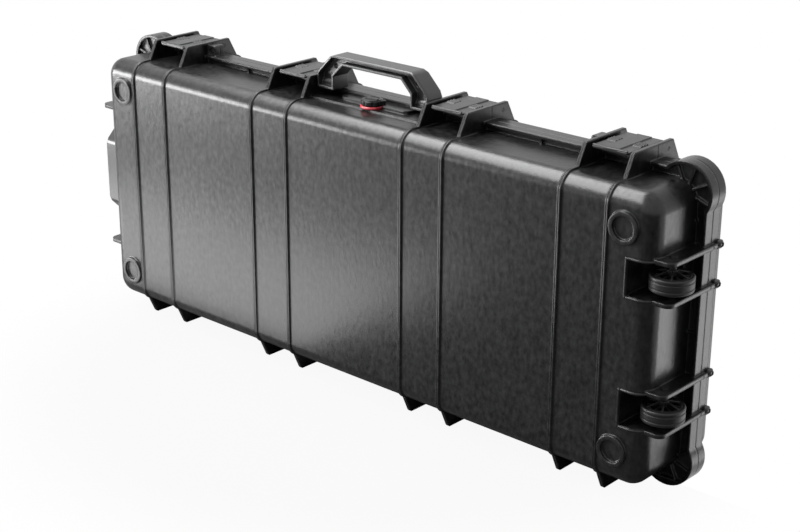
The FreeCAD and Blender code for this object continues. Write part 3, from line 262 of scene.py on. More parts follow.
def rib_groove_group(ribs: tuple[float, ...]) -> bpy.types.NodeTree:
    """Shallow groove along the middle of every rib and fin, on the faces that look outward.

    Args:
        ribs: places of the ribs along the case.

    Returns:
        The node group, made once.
    """
    name = "rib_grooves"
    if name in bpy.data.node_groups:
        return bpy.data.node_groups[name]
    tree = new_group(name, ("Half Width", "Depth"), ("Height",))
    graph = Graph(tree)
    given = graph.add("NodeGroupInput").outputs
    spot = graph.add("ShaderNodeTexCoord").outputs
    along, across, _ = graph.add("ShaderNodeSeparateXYZ", {0: spot["Object"]}).outputs
    facing = graph.add("ShaderNodeSeparateXYZ", {0: spot["Normal"]}).outputs[1]
    outside = graph.maths("GREATER_THAN", graph.maths("MULTIPLY", across, facing), OUTWARD)
    nearest = given["Half Width"]
    for rib in ribs:
        away = graph.maths("ABSOLUTE", graph.maths("SUBTRACT", along, rib))
        nearest = graph.maths("MINIMUM", nearest, away)
    share = graph.add("ShaderNodeMapRange", {
        "Value": nearest, "From Max": given["Half Width"], "To Min": -1.0, "To Max": 0.0},
        interpolation_type="SMOOTHSTEP")
    depth = graph.maths("MULTIPLY", outside, given["Depth"])
    graph.add("NodeGroupOutput", {"Height": graph.maths("MULTIPLY", share.outputs[0], depth)})
    return tree


@dataclass(frozen=True)
class Plastic:
    """A moulded plastic or rubber with a soft sheen."""

    name: str
    colour: Triple
    roughness: float
    grain: float = 0.5
    streaks: float = 0.0
    patches: float = 0.1
    blotches: float = 2.0
    mottle: float = 0.0
    gloss: float = 0.3
    edge: float = 1.5 * MM
    bump: float = 0.12 * MM
    ribs: tuple[float, ...] = ()
    groove_half: float = 1.1 * MM
    groove_depth: float = 0.5 * MM

    def material(self) -> bpy.types.Material:
        """Make the material, or find it if it is made already."""
        if self.name in bpy.data.materials:
            return bpy.data.materials[self.name]
        made = bpy.data.materials.new(self.name)
        made.use_nodes = True
        graph = Graph(made.node_tree)
        skin = graph.add("ShaderNodeGroup", node_tree=moulded_skin_group())
        skin.inputs["Colour"].default_value = (*self.colour, 1.0)
        for socket, value in (("Roughness", self.roughness), ("Grain", self.grain),
                              ("Streaks", self.streaks), ("Patches", self.patches),
                              ("Blotches", self.blotches), ("Mottle", self.mottle)):
            skin.inputs[socket].default_value = value
        height = skin.outputs["Height"]
        if self.ribs:
            groove = graph.add("ShaderNodeGroup", node_tree=rib_groove_group(self.ribs))
            groove.inputs["Half Width"].default_value = self.groove_half
            groove.inputs["Depth"].default_value = self.groove_depth / self.bump
            height = graph.maths("ADD", height, groove.outputs["Height"])
        softened = graph.add("ShaderNodeBevel", {"Radius": self.edge}, samples=EDGE_SAMPLES)
        bump = graph.add("ShaderNodeBump", {"Height": height, "Distance": self.bump,
                                            "Normal": softened.outputs[0]})
        shader = graph.add("ShaderNodeBsdfPrincipled", {
            "Base Color": skin.outputs["Colour"], "Roughness": skin.outputs["Roughness"],
            "Specular IOR Level": self.gloss, "Normal": bump.outputs[0]})
        graph.add("ShaderNodeOutputMaterial", {"Surface": shader.outputs[0]})
        return made


@dataclass(frozen=True)
class Steel:
    """Drawn steel of the pins and sleeves."""

    name: str
    colour: Triple
    roughness: float
    spread: float = 0.2

    def material(self) -> bpy.types.Material:
        """Make the material, or find it if it is made already."""
        if self.name in bpy.data.materials:
            return bpy.data.materials[self.name]
        made = bpy.data.materials.new(self.name)
        made.use_nodes = True
        graph = Graph(made.node_tree)
        lines = graph.noise(graph.add("ShaderNodeTexCoord").outputs["Object"], DRAWN)
        change = graph.maths("MULTIPLY", lines, self.spread)
        rough = graph.maths("ADD", self.roughness - self.spread / 2, change)
        shader = graph.add("ShaderNodeBsdfPrincipled", {
            "Base Color": (*self.colour, 1.0), "Metallic": 1.0, "Roughness": rough})
        graph.add("ShaderNodeOutputMaterial", {"Surface": shader.outputs[0]})
        return made


FINISHES: dict[Slot, Plastic | Steel] = {
    Slot.SHELL: Plastic("black_moulded_shell", (0.009, 0.0091, 0.0092), 0.30, streaks=0.02, blotches=46.0,
                        mottle=2.2, gloss=0.45, edge=3.0 * MM, ribs=rib_places()),
    Slot.HANDLE: Plastic("black_moulded_handle", (0.016, 0.0162, 0.0165), 0.32, patches=0.08, gloss=0.65),
    Slot.LATCH: Plastic("black_moulded_latch", (0.014, 0.0142, 0.0145), 0.34, patches=0.12, gloss=0.45),
    Slot.WHEEL: Plastic("black_wheel_hub", (0.012, 0.012, 0.0125), 0.36, gloss=0.4),
    Slot.TYRE: Plastic("black_tyre_rubber", (0.011, 0.011, 0.0112), 0.42, grain=0.8, gloss=0.4),
    Slot.SEAL: Plastic("black_seal_rubber", (0.012, 0.012, 0.012), 0.65, grain=0.8),
    Slot.STEEL: Steel("drawn_steel", (0.06, 0.06, 0.062), 0.50),
    Slot.VALVE: Plastic("black_valve_plastic", (0.016, 0.016, 0.017), 0.30, grain=0.2),
    Slot.RED: Plastic("red_valve_ring", (0.66, 0.05, 0.075), 0.24, grain=0.1, patches=0.03, gloss=0.8,
                      edge=2.5 * MM),
    Slot.VENT: Plastic("pale_vent_cloth", (0.72, 0.72, 0.70), 0.85, grain=1.0),
}


# Modelling by operators


class Bench:
    """Modelling steps, each through Blender's own operators."""

    @staticmethod
    def clear() -> None:
        """Leave edit mode and select nothing."""
        if bpy.context.object and bpy.context.object.mode != "OBJECT":
            bpy.ops.object.mode_set(mode="OBJECT")
        bpy.ops.object.select_all(action="DESELECT")

    @staticmethod
    def take(piece: bpy.types.Object) -> None:
        """Make one object the only one selected and active."""
        Bench.clear()
        piece.select_set(True)
        bpy.context.view_layer.objects.active = piece

    @staticmethod
    def box(name: str, low: Vector, high: Vector) -> bpy.types.Object:
        """A box between two corners, with its place in its mesh.

        Args:
            name: the new object's name.
            low: lowest corner.
            high: highest corner.

        Returns:
            The new object.
        """
        Bench.clear()
        bpy.ops.mesh.primitive_cube_add(size=1.0, location=(low + high) / 2)
        piece = bpy.context.object
        piece.name = name
        piece.scale = high - low
        bpy.ops.object.transform_apply(location=True, rotation=True, scale=True)
        return piece

    @staticmethod
    def cylinder(radius: float, depth: float, centre: Vector, sides: int) -> bpy.types.Object:
        """An upright cylinder, with its place in its mesh.

        Args:
            radius: its radius.
            depth: its height.
            centre: its centre.
            sides: facets round it.

        Returns:
            The new object.
        """
        Bench.clear()
        bpy.ops.mesh.primitive_cylinder_add(vertices=sides, radius=radius, depth=depth, location=centre)
        bpy.ops.object.transform_apply(location=True, rotation=True, scale=True)
        return bpy.context.object

    @staticmethod
    def pick(piece: bpy.types.Object, test: Callable[[bpy.types.MeshPolygon], bool]) -> None:
        """Enter edit mode with some faces selected.

        Args:
            piece: the object.
            test: tells whether a face is wanted.
        """
        Bench.take(piece)
        bpy.ops.object.mode_set(mode="EDIT")
        bpy.ops.mesh.select_mode(type="FACE")
        bpy.ops.mesh.select_all(action="DESELECT")
        bpy.ops.object.mode_set(mode="OBJECT")
        for face in piece.data.polygons:
            face.select = test(face)
        bpy.ops.object.mode_set(mode="EDIT")

    @staticmethod
    def lower_top(piece: bpy.types.Object, axis: int, upper: bool, drop: float) -> None:
        """Slope the top of a box by lowering one of its upper edges.

        Args:
            piece: the box.
            axis: 0 or 1, the direction of the slope.
            upper: whether the edge is the one with the larger coordinate.
            drop: how far the edge goes down.
        """
        Bench.pick(piece, lambda face: False)
        bpy.ops.mesh.select_mode(type="VERT")
        bpy.ops.object.mode_set(mode="OBJECT")
        points = [vertex.co for vertex in piece.data.vertices]
        side = (max if upper else min)(point[axis] for point in points)
        top = max(point.z for point in points)
        for vertex in piece.data.vertices:
            vertex.select = abs(vertex.co[axis] - side) < MERGE and abs(vertex.co.z - top) < MERGE
        bpy.ops.object.mode_set(mode="EDIT")
        bpy.ops.transform.translate(value=(0.0, 0.0, -drop))
        bpy.ops.object.mode_set(mode="OBJECT")

    @staticmethod
    def copy_to(piece: bpy.types.Object, name: str, shift: Vector) -> bpy.types.Object:
        """A copy of a modelled piece, with its own mesh, at another place.

        Args:
            piece: the object to copy.
            name: the new object's name.
            shift: from the old place to the new one.

        Returns:
            The copy.
        """
        Bench.take(piece)
        bpy.ops.object.duplicate()
        made = bpy.context.object
        made.name = name
        bpy.ops.transform.translate(value=shift)
        bpy.ops.object.transform_apply(location=True, rotation=True, scale=True)
        return made

    @staticmethod
    def repeat(piece: bpy.types.Object, stem: str, shifts: list[Vector]) -> list[bpy.types.Object]:
        """A piece and its copies, numbered from 1.

        Args:
            piece: the first piece.
            stem: the pieces' name before the number.
            shifts: from the first piece to each copy.

        Returns:
            The piece and the copies.
        """
        piece.name = stem + "_1"
        pieces = [piece]
        for number, shift in enumerate(shifts, start=2):
            pieces.append(Bench.copy_to(piece, f"{stem}_{number}", shift))
        return pieces

    @staticmethod
    def turned_copy(piece: bpy.types.Object, angle: float, centre: Vector, axis: str) -> bpy.types.Object:
        """A copy turned about a point.

        Args:
            piece: the object to copy.
            angle: the turn, in radians.
            centre: a point on the axis.
            axis: X, Y or Z.

        Returns:
            The copy.
        """
        Bench.take(piece)
        bpy.ops.object.duplicate()
        bpy.ops.transform.rotate(value=angle, orient_axis=axis, orient_type="GLOBAL", center_override=centre)
        bpy.ops.object.transform_apply(location=True, rotation=True, scale=True)
        return bpy.context.object

    @staticmethod
    def join(name: str, pieces: list[bpy.types.Object]) -> bpy.types.Object:
        """Make one object of several.

        Args:
            name: the joined object's name.
            pieces: the objects, of which the first one stays.

        Returns:
            The joined object.
        """
        Bench.take(pieces[0])
        for piece in pieces[1:]:
            piece.select_set(True)
        bpy.ops.object.join()
        pieces[0].name = name
        return pieces[0]

    @staticmethod
    def copy_of(node: str, name: str) -> bpy.types.Object:
        """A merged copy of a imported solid.

        Args:
            node: the solid's node.
            name: the new object's name.

        Returns:
            The copy, free of its body and of the node's marks.
        """
        Bench.take(frame["nodes"][node])
        bpy.ops.object.duplicate()
        piece = bpy.context.object
        piece.name = name
        for key in list(piece.keys()):
            del piece[key]
        bpy.ops.object.parent_clear(type="CLEAR_KEEP_TRANSFORM")
        bpy.ops.mesh.customdata_custom_splitnormals_clear()
        bpy.ops.object.mode_set(mode="EDIT")
        bpy.ops.mesh.select_all(action="SELECT")
        bpy.ops.mesh.remove_doubles(threshold=MERGE)
        bpy.ops.object.mode_set(mode="OBJECT")
        return piece

    @staticmethod
    def unite(piece: bpy.types.Object, others: list[bpy.types.Object]) -> None:
        """Make one closed skin of pieces that meet face to face.

        Args:
            piece: the object that takes the others in.
            others: the objects that are used up.
        """
        for other in others:
            Bench.take(piece)
            union = piece.modifiers.new("union", "BOOLEAN")
            union.operation = "UNION"
            union.solver = "MANIFOLD"
            union.object = other
            bpy.ops.object.modifier_apply(modifier=union.name)
            bpy.data.objects.remove(other)

    @staticmethod
    def flatten(piece: bpy.types.Object) -> None:
        """Make whole faces of the triangles that lie in one plane."""
        Bench.take(piece)
        bpy.ops.object.mode_set(mode="EDIT")
        bpy.ops.mesh.select_all(action="SELECT")
        bpy.ops.mesh.dissolve_limited(angle_limit=FLAT)
        bpy.ops.object.mode_set(mode="OBJECT")

    @staticmethod
    def round_edges(piece: bpy.types.Object, width: float, angle: float = 30.0, segments: int = 2) -> None:
        """Round every edge sharper than an angle.

        Args:
            piece: the object.
            width: width of the rounding, in metres.
            angle: least angle between faces, in degrees.
            segments: facets across the rounding.
        """
        Bench.take(piece)
        bevel = piece.modifiers.new("rounding", "BEVEL")
        bevel.width = width
        bevel.segments = segments
        bevel.limit_method = "ANGLE"
        bevel.angle_limit = math.radians(angle)
        bevel.use_clamp_overlap = False
        bevel.miter_outer = "MITER_ARC"
        bpy.ops.object.modifier_apply(modifier=bevel.name)
        Bench.even_shading(piece, SMOOTH)

    @staticmethod
    def even_shading(piece: bpy.types.Object, angle: float, weight: int = 80) -> None:
        """Shade curved faces smooth and keep the broad ones flat.

        Args:
            piece: the object.
            angle: least angle of an edge that stays sharp, in degrees.
            weight: how much the broad faces count, where 50 is even.
        """
        Bench.take(piece)
        bpy.ops.object.shade_smooth_by_angle(angle=math.radians(angle))
        weighted = piece.modifiers.new("flat_faces_first", "WEIGHTED_NORMAL")
        weighted.keep_sharp = True
        weighted.weight = weight
        bpy.ops.object.modifier_apply(modifier=weighted.name)

    @staticmethod
    def finish(piece: bpy.types.Object, slot: Slot, body: str) -> None:
        """Dress a new piece and hang it on its body.

        Args:
            piece: the object.
            slot: its finish.
            body: the body that it moves with.
        """
        piece.data.materials.clear()
        piece.data.materials.append(FINISHES[slot].material())
        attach(piece, body)
        log.info("%s on %s", piece.name, body)


# Sub-assemblies


@dataclass
class PlainNodes:
    """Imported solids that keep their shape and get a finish."""

    slot: Slot
    nodes: tuple[str, ...]

    def dress(self) -> None:
        """Give every node its material."""
        for name in self.nodes:
            mesh = frame["nodes"][name].data
            mesh.materials.clear()
            mesh.materials.append(FINISHES[self.slot].material())
            log.info("%s dressed", name)


@dataclass
class SoftNodes:
    """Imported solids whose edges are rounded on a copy."""

    slot: Slot
    body: str
    nodes: tuple[str, ...]
    rounding: float = 0.8 * MM
    angle: float = 32.0

    def build(self) -> None:
        """Make a rounded copy of every node and dress it."""
        for name in self.nodes:
            piece = Bench.copy_of(name, name + "_soft")
            Bench.flatten(piece)
            Bench.round_edges(piece, self.rounding, self.angle)
            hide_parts(name)
            Bench.finish(piece, self.slot, self.body)


@dataclass
class Moulding:
    """One half of the case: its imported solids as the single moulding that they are."""

    section: Section
    solids: tuple[str, ...]
    angle: float = 32.0

    def build(self) -> None:
        """Unite the solids' copies and dress the moulding."""
        half = self.section.value
        copies = [Bench.copy_of(name, name + "_copy") for name in self.solids]
        piece = copies[0]
        Bench.unite(piece, copies[1:])
        piece.name = half + "_moulding"
        Bench.flatten(piece)
        Bench.even_shading(piece, self.angle)
        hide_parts(*self.solids)
        Bench.finish(piece, Slot.SHELL, half)


@dataclass
class LatchGrip:
    """Grip ridges and finger lip on top of the latch levers."""

    count: int
    ridges: int = 3
    ridge_depth: float = 5.0 * MM
    ridge_rise: float = 1.9 * MM
    ridge_crest: float = 0.3 * MM
    side_margin: float = 1.5 * MM
    panel_half: float = 10.0 * MM
    panel_gap: float = 1.2 * MM
    panel_rise: float = 1.2 * MM
    start: float = 27.0 * MM
    sink: float = 0.4 * MM
    lip_depth: float = 2.4 * MM
    lip_rise: float = 0.7 * MM
    softness: float = 0.3 * MM

    def build(self) -> None:
        """Model the first lever's pieces and copy them to the others."""
        levers = numbered("latch_lever", self.count)
        low, high = node_box(levers[0])
        first = Vector(((low.x + high.x) / 2, low.y, high.z))
        half = (high.x - low.x) / 2 - self.side_margin
        pieces = [self.lip(first, half)]
        for step in range(self.ridges):
            front = first.y + self.start + step * self.ridge_depth
            pieces.append(self.ridge(first, (-half, -self.panel_half - self.panel_gap), front))
            pieces.append(self.ridge(first, (self.panel_half + self.panel_gap, half), front))
        shifts = [Vector((node_middle(lever).x - first.x, 0.0, 0.0)) for lever in levers[1:]]
        grips = Bench.repeat(Bench.join("latch_grip", pieces), "latch_grip", shifts)
        for piece, body in zip(grips, numbered("lever", self.count)):
            Bench.finish(piece, Slot.LATCH, body)

    def ridge(self, first: Vector, span: tuple[float, float], front: float) -> bpy.types.Object:
        """One ridge that rises towards the hinge of the lever.

        Args:
            first: middle of the lever's free edge, on its top.
            span: the ridge's ends along the case, from the lever's middle.
            front: where the ridge begins.

        Returns:
            The ridge.
        """
        ground = first.z - self.panel_rise
        back = front + self.ridge_depth - self.ridge_crest
        piece = Bench.box("ridge", Vector((first.x + span[0], front, ground - self.sink)),
                          Vector((first.x + span[1], back, ground + self.ridge_rise)))
        Bench.lower_top(piece, 1, False, self.ridge_rise)
        Bench.round_edges(piece, self.softness)
        return piece

    def lip(self, first: Vector, half: float) -> bpy.types.Object:
        """The finger lip along the lever's free edge.

        Args:
            first: middle of the lever's free edge, on its top.
            half: half the lip's length.

        Returns:
            The lip.
        """
        front = first.y + self.softness
        foot = first.z - self.panel_rise - self.sink
        piece = Bench.box("lip", Vector((first.x - half, front, foot)),
                          Vector((first.x + half, front + self.lip_depth, first.z + self.lip_rise)))
        Bench.lower_top(piece, 1, False, self.lip_rise)
        Bench.round_edges(piece, self.softness)
        return piece


@dataclass
class KnobGrip:
    """Raised grip bar, dished top and side lug of the valve knob."""

    rim: float = 2.2 * MM
    rise: float = 0.9 * MM
    dish: float = 0.7 * MM
    sink: float = 0.3 * MM
    bar_half: float = 10.0 * MM
    bar_width: float = 4.0 * MM
    bar_rise: float = 2.0 * MM
    lug_root: float = 8.0 * MM
    lug_reach: float = 17.4 * MM
    lug_half: float = 3.2 * MM
    lug_foot: float = 1.6 * MM
    lug_top: float = 0.8 * MM
    lug_taper: Triple = (1.0, 0.7, 0.8)
    lug_turn: float = math.radians(-40.0)
    softness: float = 0.4 * MM
    sides: int = 48

    def build(self) -> None:
        """Model the dished top, its bar and the lug, and hang them on the knob."""
        low, high = node_box("valve_knob")
        middle = (low + high) / 2
        radius = (high.x - low.x) / 2 - self.rim
        centre = Vector((middle.x, middle.y, high.z + (self.rise - self.sink) / 2))
        top = Bench.cylinder(radius, self.rise + self.sink, centre, self.sides)
        Bench.pick(top, lambda face: face.normal.z > FACING)
        bpy.ops.mesh.inset(thickness=self.rim)
        bpy.ops.mesh.extrude_region_move(TRANSFORM_OT_translate={"value": (0.0, 0.0, -self.dish)})
        bpy.ops.object.mode_set(mode="OBJECT")
        Bench.round_edges(top, self.softness / 2)
        bar = self.bar(middle, high.z, min(self.bar_half, radius - self.rim))
        grip = Bench.join("valve_knob_grip", [top, bar, self.lug(middle, low.z, high.z)])
        Bench.finish(grip, Slot.VALVE, "knob")

    def bar(self, middle: Vector, top: float, reach: float) -> bpy.types.Object:
        """The grip bar across the knob.

        Args:
            middle: centre of the knob.
            top: height of the knob's top.
            reach: half the bar's length.

        Returns:
            The bar.
        """
        half = self.bar_width / 2
        piece = Bench.box("bar", Vector((middle.x - reach, middle.y - half, top - self.sink)),
                          Vector((middle.x + reach, middle.y + half, top + self.bar_rise)))
        Bench.pick(piece, lambda face: face.normal.z > FACING)
        bpy.ops.mesh.inset(thickness=self.softness)
        bpy.ops.object.mode_set(mode="OBJECT")
        Bench.round_edges(piece, self.softness)
        return piece

    def lug(self, middle: Vector, foot: float, top: float) -> bpy.types.Object:
        """The lug that the knob is turned by.

        Args:
            middle: centre of the knob.
            foot: height of the knob's underside.
            top: height of the knob's top.

        Returns:
            The lug.
        """
        low = Vector((middle.x + self.lug_root, middle.y - self.lug_half, foot + self.lug_foot))
        high = Vector((middle.x + self.lug_reach, middle.y + self.lug_half, top - self.lug_top))
        piece = Bench.box("lug", low, high)
        Bench.pick(piece, lambda face: face.normal.x > FACING)
        bpy.ops.transform.resize(value=self.lug_taper)
        bpy.ops.object.mode_set(mode="OBJECT")
        Bench.round_edges(piece, self.softness)
        turned = Bench.turned_copy(piece, self.lug_turn, middle, "Z")
        bpy.data.objects.remove(piece)
        return turned


@dataclass
class HubStar:
    """Sloping vanes and a bored boss on both sides of the wheels."""

    count: int
    vanes: int = 6
    boss: float = 6.2 * MM
    bore: float = 3.4 * MM
    rise: float = 6.0 * MM
    vane_wall: float = 1.7 * MM
    rim_rise: float = 0.8 * MM
    margin: float = 1.0 * MM
    sink: float = 0.3 * MM
    softness: float = 0.3 * MM
    sides: int = 32

    def build(self) -> None:
        """Model the first wheel's stars and copy them to the others."""
        hubs = numbered("wheel_hub", self.count)
        low, high = node_box(hubs[0])
        middle = (low + high) / 2
        star = self.star(middle, (high.x - low.x) / 2, high.z)
        both = Bench.join("wheel_star", [star, Bench.turned_copy(star, math.pi, middle, "X")])
        stars = Bench.repeat(both, "wheel_star", [node_middle(hub) - middle for hub in hubs[1:]])
        for piece, body in zip(stars, numbered("wheel", self.count)):
            Bench.finish(piece, Slot.WHEEL, body)

    def star(self, middle: Vector, radius: float, top: float) -> bpy.types.Object:
        """The star on one side of a wheel.

        Args:
            middle: centre of the hub.
            radius: the hub's radius.
            top: height of the hub's face.

        Returns:
            The star.
        """
        height = self.rise + self.sink
        centre = Vector((middle.x, middle.y, top + height / 2 - self.sink))
        boss = Bench.cylinder(self.boss, height, centre, self.sides)
        Bench.pick(boss, lambda face: abs(face.normal.z) > FACING)
        bpy.ops.mesh.inset(thickness=self.boss - self.bore)
        bpy.ops.mesh.bridge_edge_loops()
        bpy.ops.object.mode_set(mode="OBJECT")
        Bench.round_edges(boss, self.softness)
        half = self.vane_wall / 2
        crest = self.rise - self.softness
        low = Vector((middle.x + (self.boss + self.bore) / 2, middle.y - half, top - self.sink))
        high = Vector((middle.x + radius - self.margin, middle.y + half, top + crest))
        vane = Bench.box("vane", low, high)
        Bench.lower_top(vane, 0, True, crest - self.rim_rise)
        Bench.round_edges(vane, self.softness)
        vanes = [vane]
        for step in range(1, self.vanes):
            vanes.append(Bench.turned_copy(vane, math.tau * step / self.vanes, middle, "Z"))
        return Bench.join("star", [boss] + vanes)


@dataclass
class BayLip:
    """Moulded lip round the mouth of each wheel bay."""

    count: int
    face_round: float = 21.0 * MM
    tub_half: float = 468.0 * MM
    face: float = -72.0 * MM
    bay_half: float = 21.5 * MM
    bay_start: float = 435.0 * MM
    wheel_drop: float = 3.0 * MM
    thick: float = 3.0 * MM
    sink: float = 0.8 * MM
    softness: float = 0.9 * MM
    soft_angle: float = 40.0
    steps: int = 12

    def build(self) -> None:
        """Model the first bay's lip and copy it to the others."""
        levels = [node_middle(hub).z + self.wheel_drop for hub in numbered("wheel_hub", self.count)]
        upper = levels[0] + self.bay_half
        lower = levels[0] - self.bay_half - self.thick
        front = self.face - self.thick + self.sink
        post = Bench.box("post", Vector((self.bay_start - self.thick, front, lower)),
                         Vector((self.bay_start, front + self.thick, upper + self.thick)))
        Bench.round_edges(post, self.softness)
        first = Bench.join("bay_lip", [self.strip(upper), self.strip(lower), post])
        shifts = [Vector((0.0, 0.0, level - levels[0])) for level in levels[1:]]
        for piece in Bench.repeat(first, "bay_lip", shifts):
            Bench.finish(piece, Slot.SHELL, Section.BASE.value)

    def strip(self, foot: float) -> bpy.types.Object:
        """A strip along the broad face and round the tub's end.

        Args:
            foot: lower edge of the strip.

        Returns:
            The strip.
        """
        turn = self.tub_half - self.face_round
        front = self.face - self.thick + self.sink
        piece = Bench.box("strip", Vector((self.bay_start, front, foot)),
                          Vector((turn, front + self.thick, foot + self.thick)))
        Bench.pick(piece, lambda face: face.normal.x > FACING)
        bpy.ops.mesh.spin(steps=self.steps, angle=-math.pi / 2, axis=(0.0, 0.0, 1.0),
                          center=(turn, self.face + self.face_round, foot))
        bpy.ops.object.mode_set(mode="OBJECT")
        Bench.round_edges(piece, self.softness, self.soft_angle)
        return piece


@dataclass
class ShelfKnobs:
    """Rounded knobs that end the shelves on the lid's side."""

    middle: float = 200.0 * MM
    outer: float = 103.0 * MM
    inner: float = 55.0 * MM
    reach: tuple[float, float] = (476.0 * MM, 488.2 * MM)
    depth: tuple[float, float] = (27.0 * MM, 38.0 * MM)
    half: float = 4.6 * MM
    inset: float = 2.0 * MM
    rise: float = 0.8 * MM
    softness: float = 1.8 * MM
    soft_angle: float = 60.0
    soft_facets: int = 3

    def build(self) -> None:
        """Model one knob and copy it to the ends of the other shelves."""
        levels = (self.inner, -self.inner, -self.outer)
        shifts = [Vector((0.0, 0.0, level - self.outer)) for level in levels]
        knobs = Bench.repeat(self.knob(self.middle + self.outer), "shelf_knob", shifts)
        centre = Vector((0.0, sum(self.depth) / 2, self.middle))
        knobs += [Bench.turned_copy(piece, math.pi, centre, "Z") for piece in (knobs[0], knobs[-1])]
        for piece, name in zip(knobs, numbered("shelf_knob", len(knobs))):
            piece.name = name
            Bench.finish(piece, Slot.SHELL, Section.LID.value)

    def knob(self, level: float) -> bpy.types.Object:
        """The knob on a shelf of the wheels' end.

        Args:
            level: height of the shelf's middle.

        Returns:
            The knob.
        """
        piece = Bench.box("shelf_knob", Vector((self.reach[0], self.depth[0], level - self.half)),
                          Vector((self.reach[1], self.depth[1], level + self.half)))
        Bench.pick(piece, lambda face: face.normal.x > FACING)
        bpy.ops.mesh.inset(thickness=self.inset)
        bpy.ops.mesh.extrude_region_move(TRANSFORM_OT_translate={"value": (self.rise, 0.0, 0.0)})
        bpy.ops.object.mode_set(mode="OBJECT")
        Bench.round_edges(piece, self.softness, self.soft_angle, self.soft_facets)
        return piece


# Studio


@dataclass
class Lamp:
    """A soft box that faces a point."""

    name: str
    place: Triple
    aim: Triple
    width: float
    height: float
    watts: float

    def build(self) -> None:
        """Add the lamp."""
        data = bpy.data.lights.new(self.name, "AREA")
        data.shape = "RECTANGLE"
        data.size = self.width
        data.size_y = self.height
        data.energy = self.watts
        lamp = bpy.data.objects.new(self.name, data)
        lamp.visible_camera = False
        bpy.context.scene.collection.objects.link(lamp)
        lamp.location = self.place
        lamp.rotation_euler = (Vector(self.aim) - Vector(self.place)).to_track_quat("-Z", "Y").to_euler()


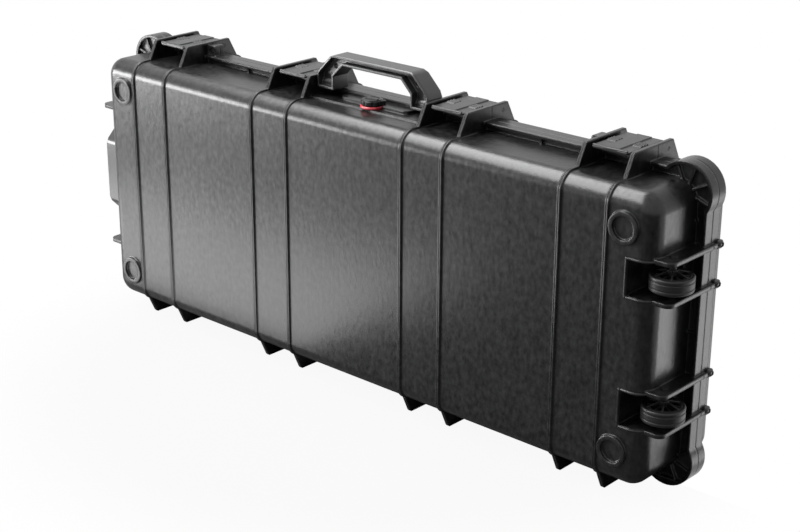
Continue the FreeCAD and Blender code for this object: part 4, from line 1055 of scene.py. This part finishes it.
@dataclass
class Studio:
    """Camera, pale floor, white background and soft boxes."""

    camera_place: Triple = (1.3624, -1.4804, 0.9243)
    camera_right: Triple = (0.74344645, 0.6687777, 0.00487455)
    camera_up: Triple = (-0.24068704, 0.26074524, 0.93492335)
    lens: float = 73.24
    sensor: float = 36.0
    clip: tuple[float, float] = (0.05, 50.0)
    ambient: float = 0.25
    floor_front: float = 6.0
    floor_back: float = 0.018
    floor_half: float = 6.0
    floor_grey: float = 0.16
    floor_white: float = 0.93
    shadow_near: float = 0.35
    shadow_far: float = 0.62

    def build(self) -> None:
        """Set up everything but the object."""
        self.build_camera()
        self.build_world()
        self.build_floor()
        lamps = (
            Lamp("overhead_box", (-0.95, -0.85, 1.95), (-0.95, -0.8, 0.0), 1.2, 2.7, 120.0),
            Lamp("left_box", (-1.75, -1.1, 0.28), (-0.4, 0.0, 0.15), 1.1, 0.5, 40.0),
            Lamp("low_front_box", (-0.56, -0.31, 0.003), (-0.56, -0.30, 1.0), 0.84, 0.34, 4.0),
            Lamp("right_back_box", (1.28, 1.28, -0.38), (0.47, 0.0, 0.2), 0.6, 0.55, 3.0),
        )
        for lamp in lamps:
            lamp.build()
        bpy.context.scene.view_settings.view_transform = "Standard"

    def build_camera(self) -> None:
        """The camera at the photograph's place."""
        data = bpy.data.cameras.new("camera")
        data.lens = self.lens
        data.sensor_width = self.sensor
        data.clip_start, data.clip_end = self.clip
        camera = bpy.data.objects.new("camera", data)
        bpy.context.scene.collection.objects.link(camera)
        right = Vector(self.camera_right)
        up = Vector(self.camera_up)
        turn = Matrix((right, up, right.cross(up))).transposed().to_4x4()
        camera.matrix_world = Matrix.Translation(self.camera_place) @ turn
        bpy.context.scene.camera = camera

    @staticmethod
    def shown_directly(graph: Graph) -> bpy.types.NodeSocket:
        """One for rays that show the background: from the camera, mirrored or through glass."""
        path = graph.add("ShaderNodeLightPath").outputs
        seen = graph.maths("MAXIMUM", path["Is Camera Ray"], path["Is Glossy Ray"])
        return graph.maths("MAXIMUM", seen, path["Is Transmission Ray"])

    def build_world(self) -> None:
        """White where it is seen, plain grey light elsewhere."""
        world = bpy.data.worlds.new("white_room")
        world.use_nodes = True
        bpy.context.scene.world = world
        graph = Graph(world.node_tree)
        light = graph.add("ShaderNodeBackground", {"Color": WHITE, "Strength": self.ambient})
        white = graph.add("ShaderNodeBackground", {"Color": WHITE, "Strength": 1.0})
        mix = graph.add("ShaderNodeMixShader", {0: self.shown_directly(graph), 1: light.outputs[0],
                                                2: white.outputs[0]})
        graph.add("ShaderNodeOutputWorld", {"Surface": mix.outputs[0]})

    def build_floor(self) -> None:
        """A pale floor in front of the hinge, so that the lid can open past its edge."""
        Bench.clear()
        bpy.ops.mesh.primitive_plane_add(size=1.0)
        floor = bpy.context.object
        floor.name = "floor"
        depth = self.floor_front + self.floor_back
        floor.scale = (2 * self.floor_half, depth, 1.0)
        floor.location = (0.0, self.floor_back - depth / 2, 0.0)
        bpy.ops.object.transform_apply(location=True, rotation=True, scale=True)
        made = bpy.data.materials.new("pale_floor")
        made.use_nodes = True
        graph = Graph(made.node_tree)
        grey = self.floor_grey
        paint = graph.add("ShaderNodeBsdfDiffuse", {"Color": (grey, grey, grey, 1.0)})
        glow = graph.add("ShaderNodeEmission", {"Color": WHITE, "Strength": 1.0})
        seen = graph.add("ShaderNodeLightPath").outputs["Is Camera Ray"]
        place = graph.add("ShaderNodeTexCoord").outputs["Object"]
        far = graph.add("ShaderNodeVectorMath", {0: place}, operation="LENGTH").outputs["Value"]
        fading = graph.add("ShaderNodeMapRange", {
            "Value": far, "From Min": self.shadow_near, "From Max": self.shadow_far,
            "To Min": self.floor_white, "To Max": 1.0}, interpolation_type="SMOOTHSTEP")
        share = graph.maths("MULTIPLY", seen, fading.outputs[0])
        mix = graph.add("ShaderNodeMixShader", {0: share, 1: paint.outputs[0], 2: glow.outputs[0]})
        graph.add("ShaderNodeOutputMaterial", {"Surface": mix.outputs[0]})
        floor.data.materials.append(made)


def main() -> None:
    """Dress the case and set up the studio."""
    Moulding(Section.BASE, ("base_shell", "base_collar", "base_fins", "base_shelves", "base_ledge",
                            "padlock_tabs_base")).build()
    Moulding(Section.LID, ("lid_shell", "lid_collar", "lid_fins", "padlock_tabs_lid")).build()
    for number in range(1, LATCHES + 1):
        SoftNodes(Slot.LATCH, f"lever_{number}", (f"latch_lever_{number}",), rounding=0.5 * MM).build()
        SoftNodes(Slot.LATCH, f"jaw_{number}", (f"latch_jaw_{number}",), rounding=0.4 * MM).build()
    SoftNodes(Slot.HANDLE, "carry_handle", ("top_handle",)).build()
    SoftNodes(Slot.HANDLE, "tow_handle", ("end_handle",)).build()
    dressed = (
        PlainNodes(Slot.STEEL, numbered("latch_link_pin", LATCHES) + numbered("wheel_axle", WHEELS) + (
            "hinge_pins", "latch_pivot_pins", "top_handle_pins", "end_handle_pins",
            "padlock_sleeves_base", "padlock_sleeves_lid")),
        PlainNodes(Slot.WHEEL, numbered("wheel_hub", WHEELS) + numbered("wheel_sleeve", WHEELS)),
        PlainNodes(Slot.TYRE, numbered("wheel_tyre", WHEELS)),
        PlainNodes(Slot.SEAL, ("lid_seal",)),
        PlainNodes(Slot.VALVE, ("valve_body", "valve_knob", "valve_nut")),
        PlainNodes(Slot.RED, ("valve_ring",)),
        PlainNodes(Slot.VENT, ("valve_vent",)),
    )
    for nodes in dressed:
        nodes.dress()
    LatchGrip(LATCHES).build()
    KnobGrip().build()
    HubStar(WHEELS).build()
    BayLip(WHEELS).build()
    ShelfKnobs().build()
    Studio().build()


if __name__ == "__main__":
    main()
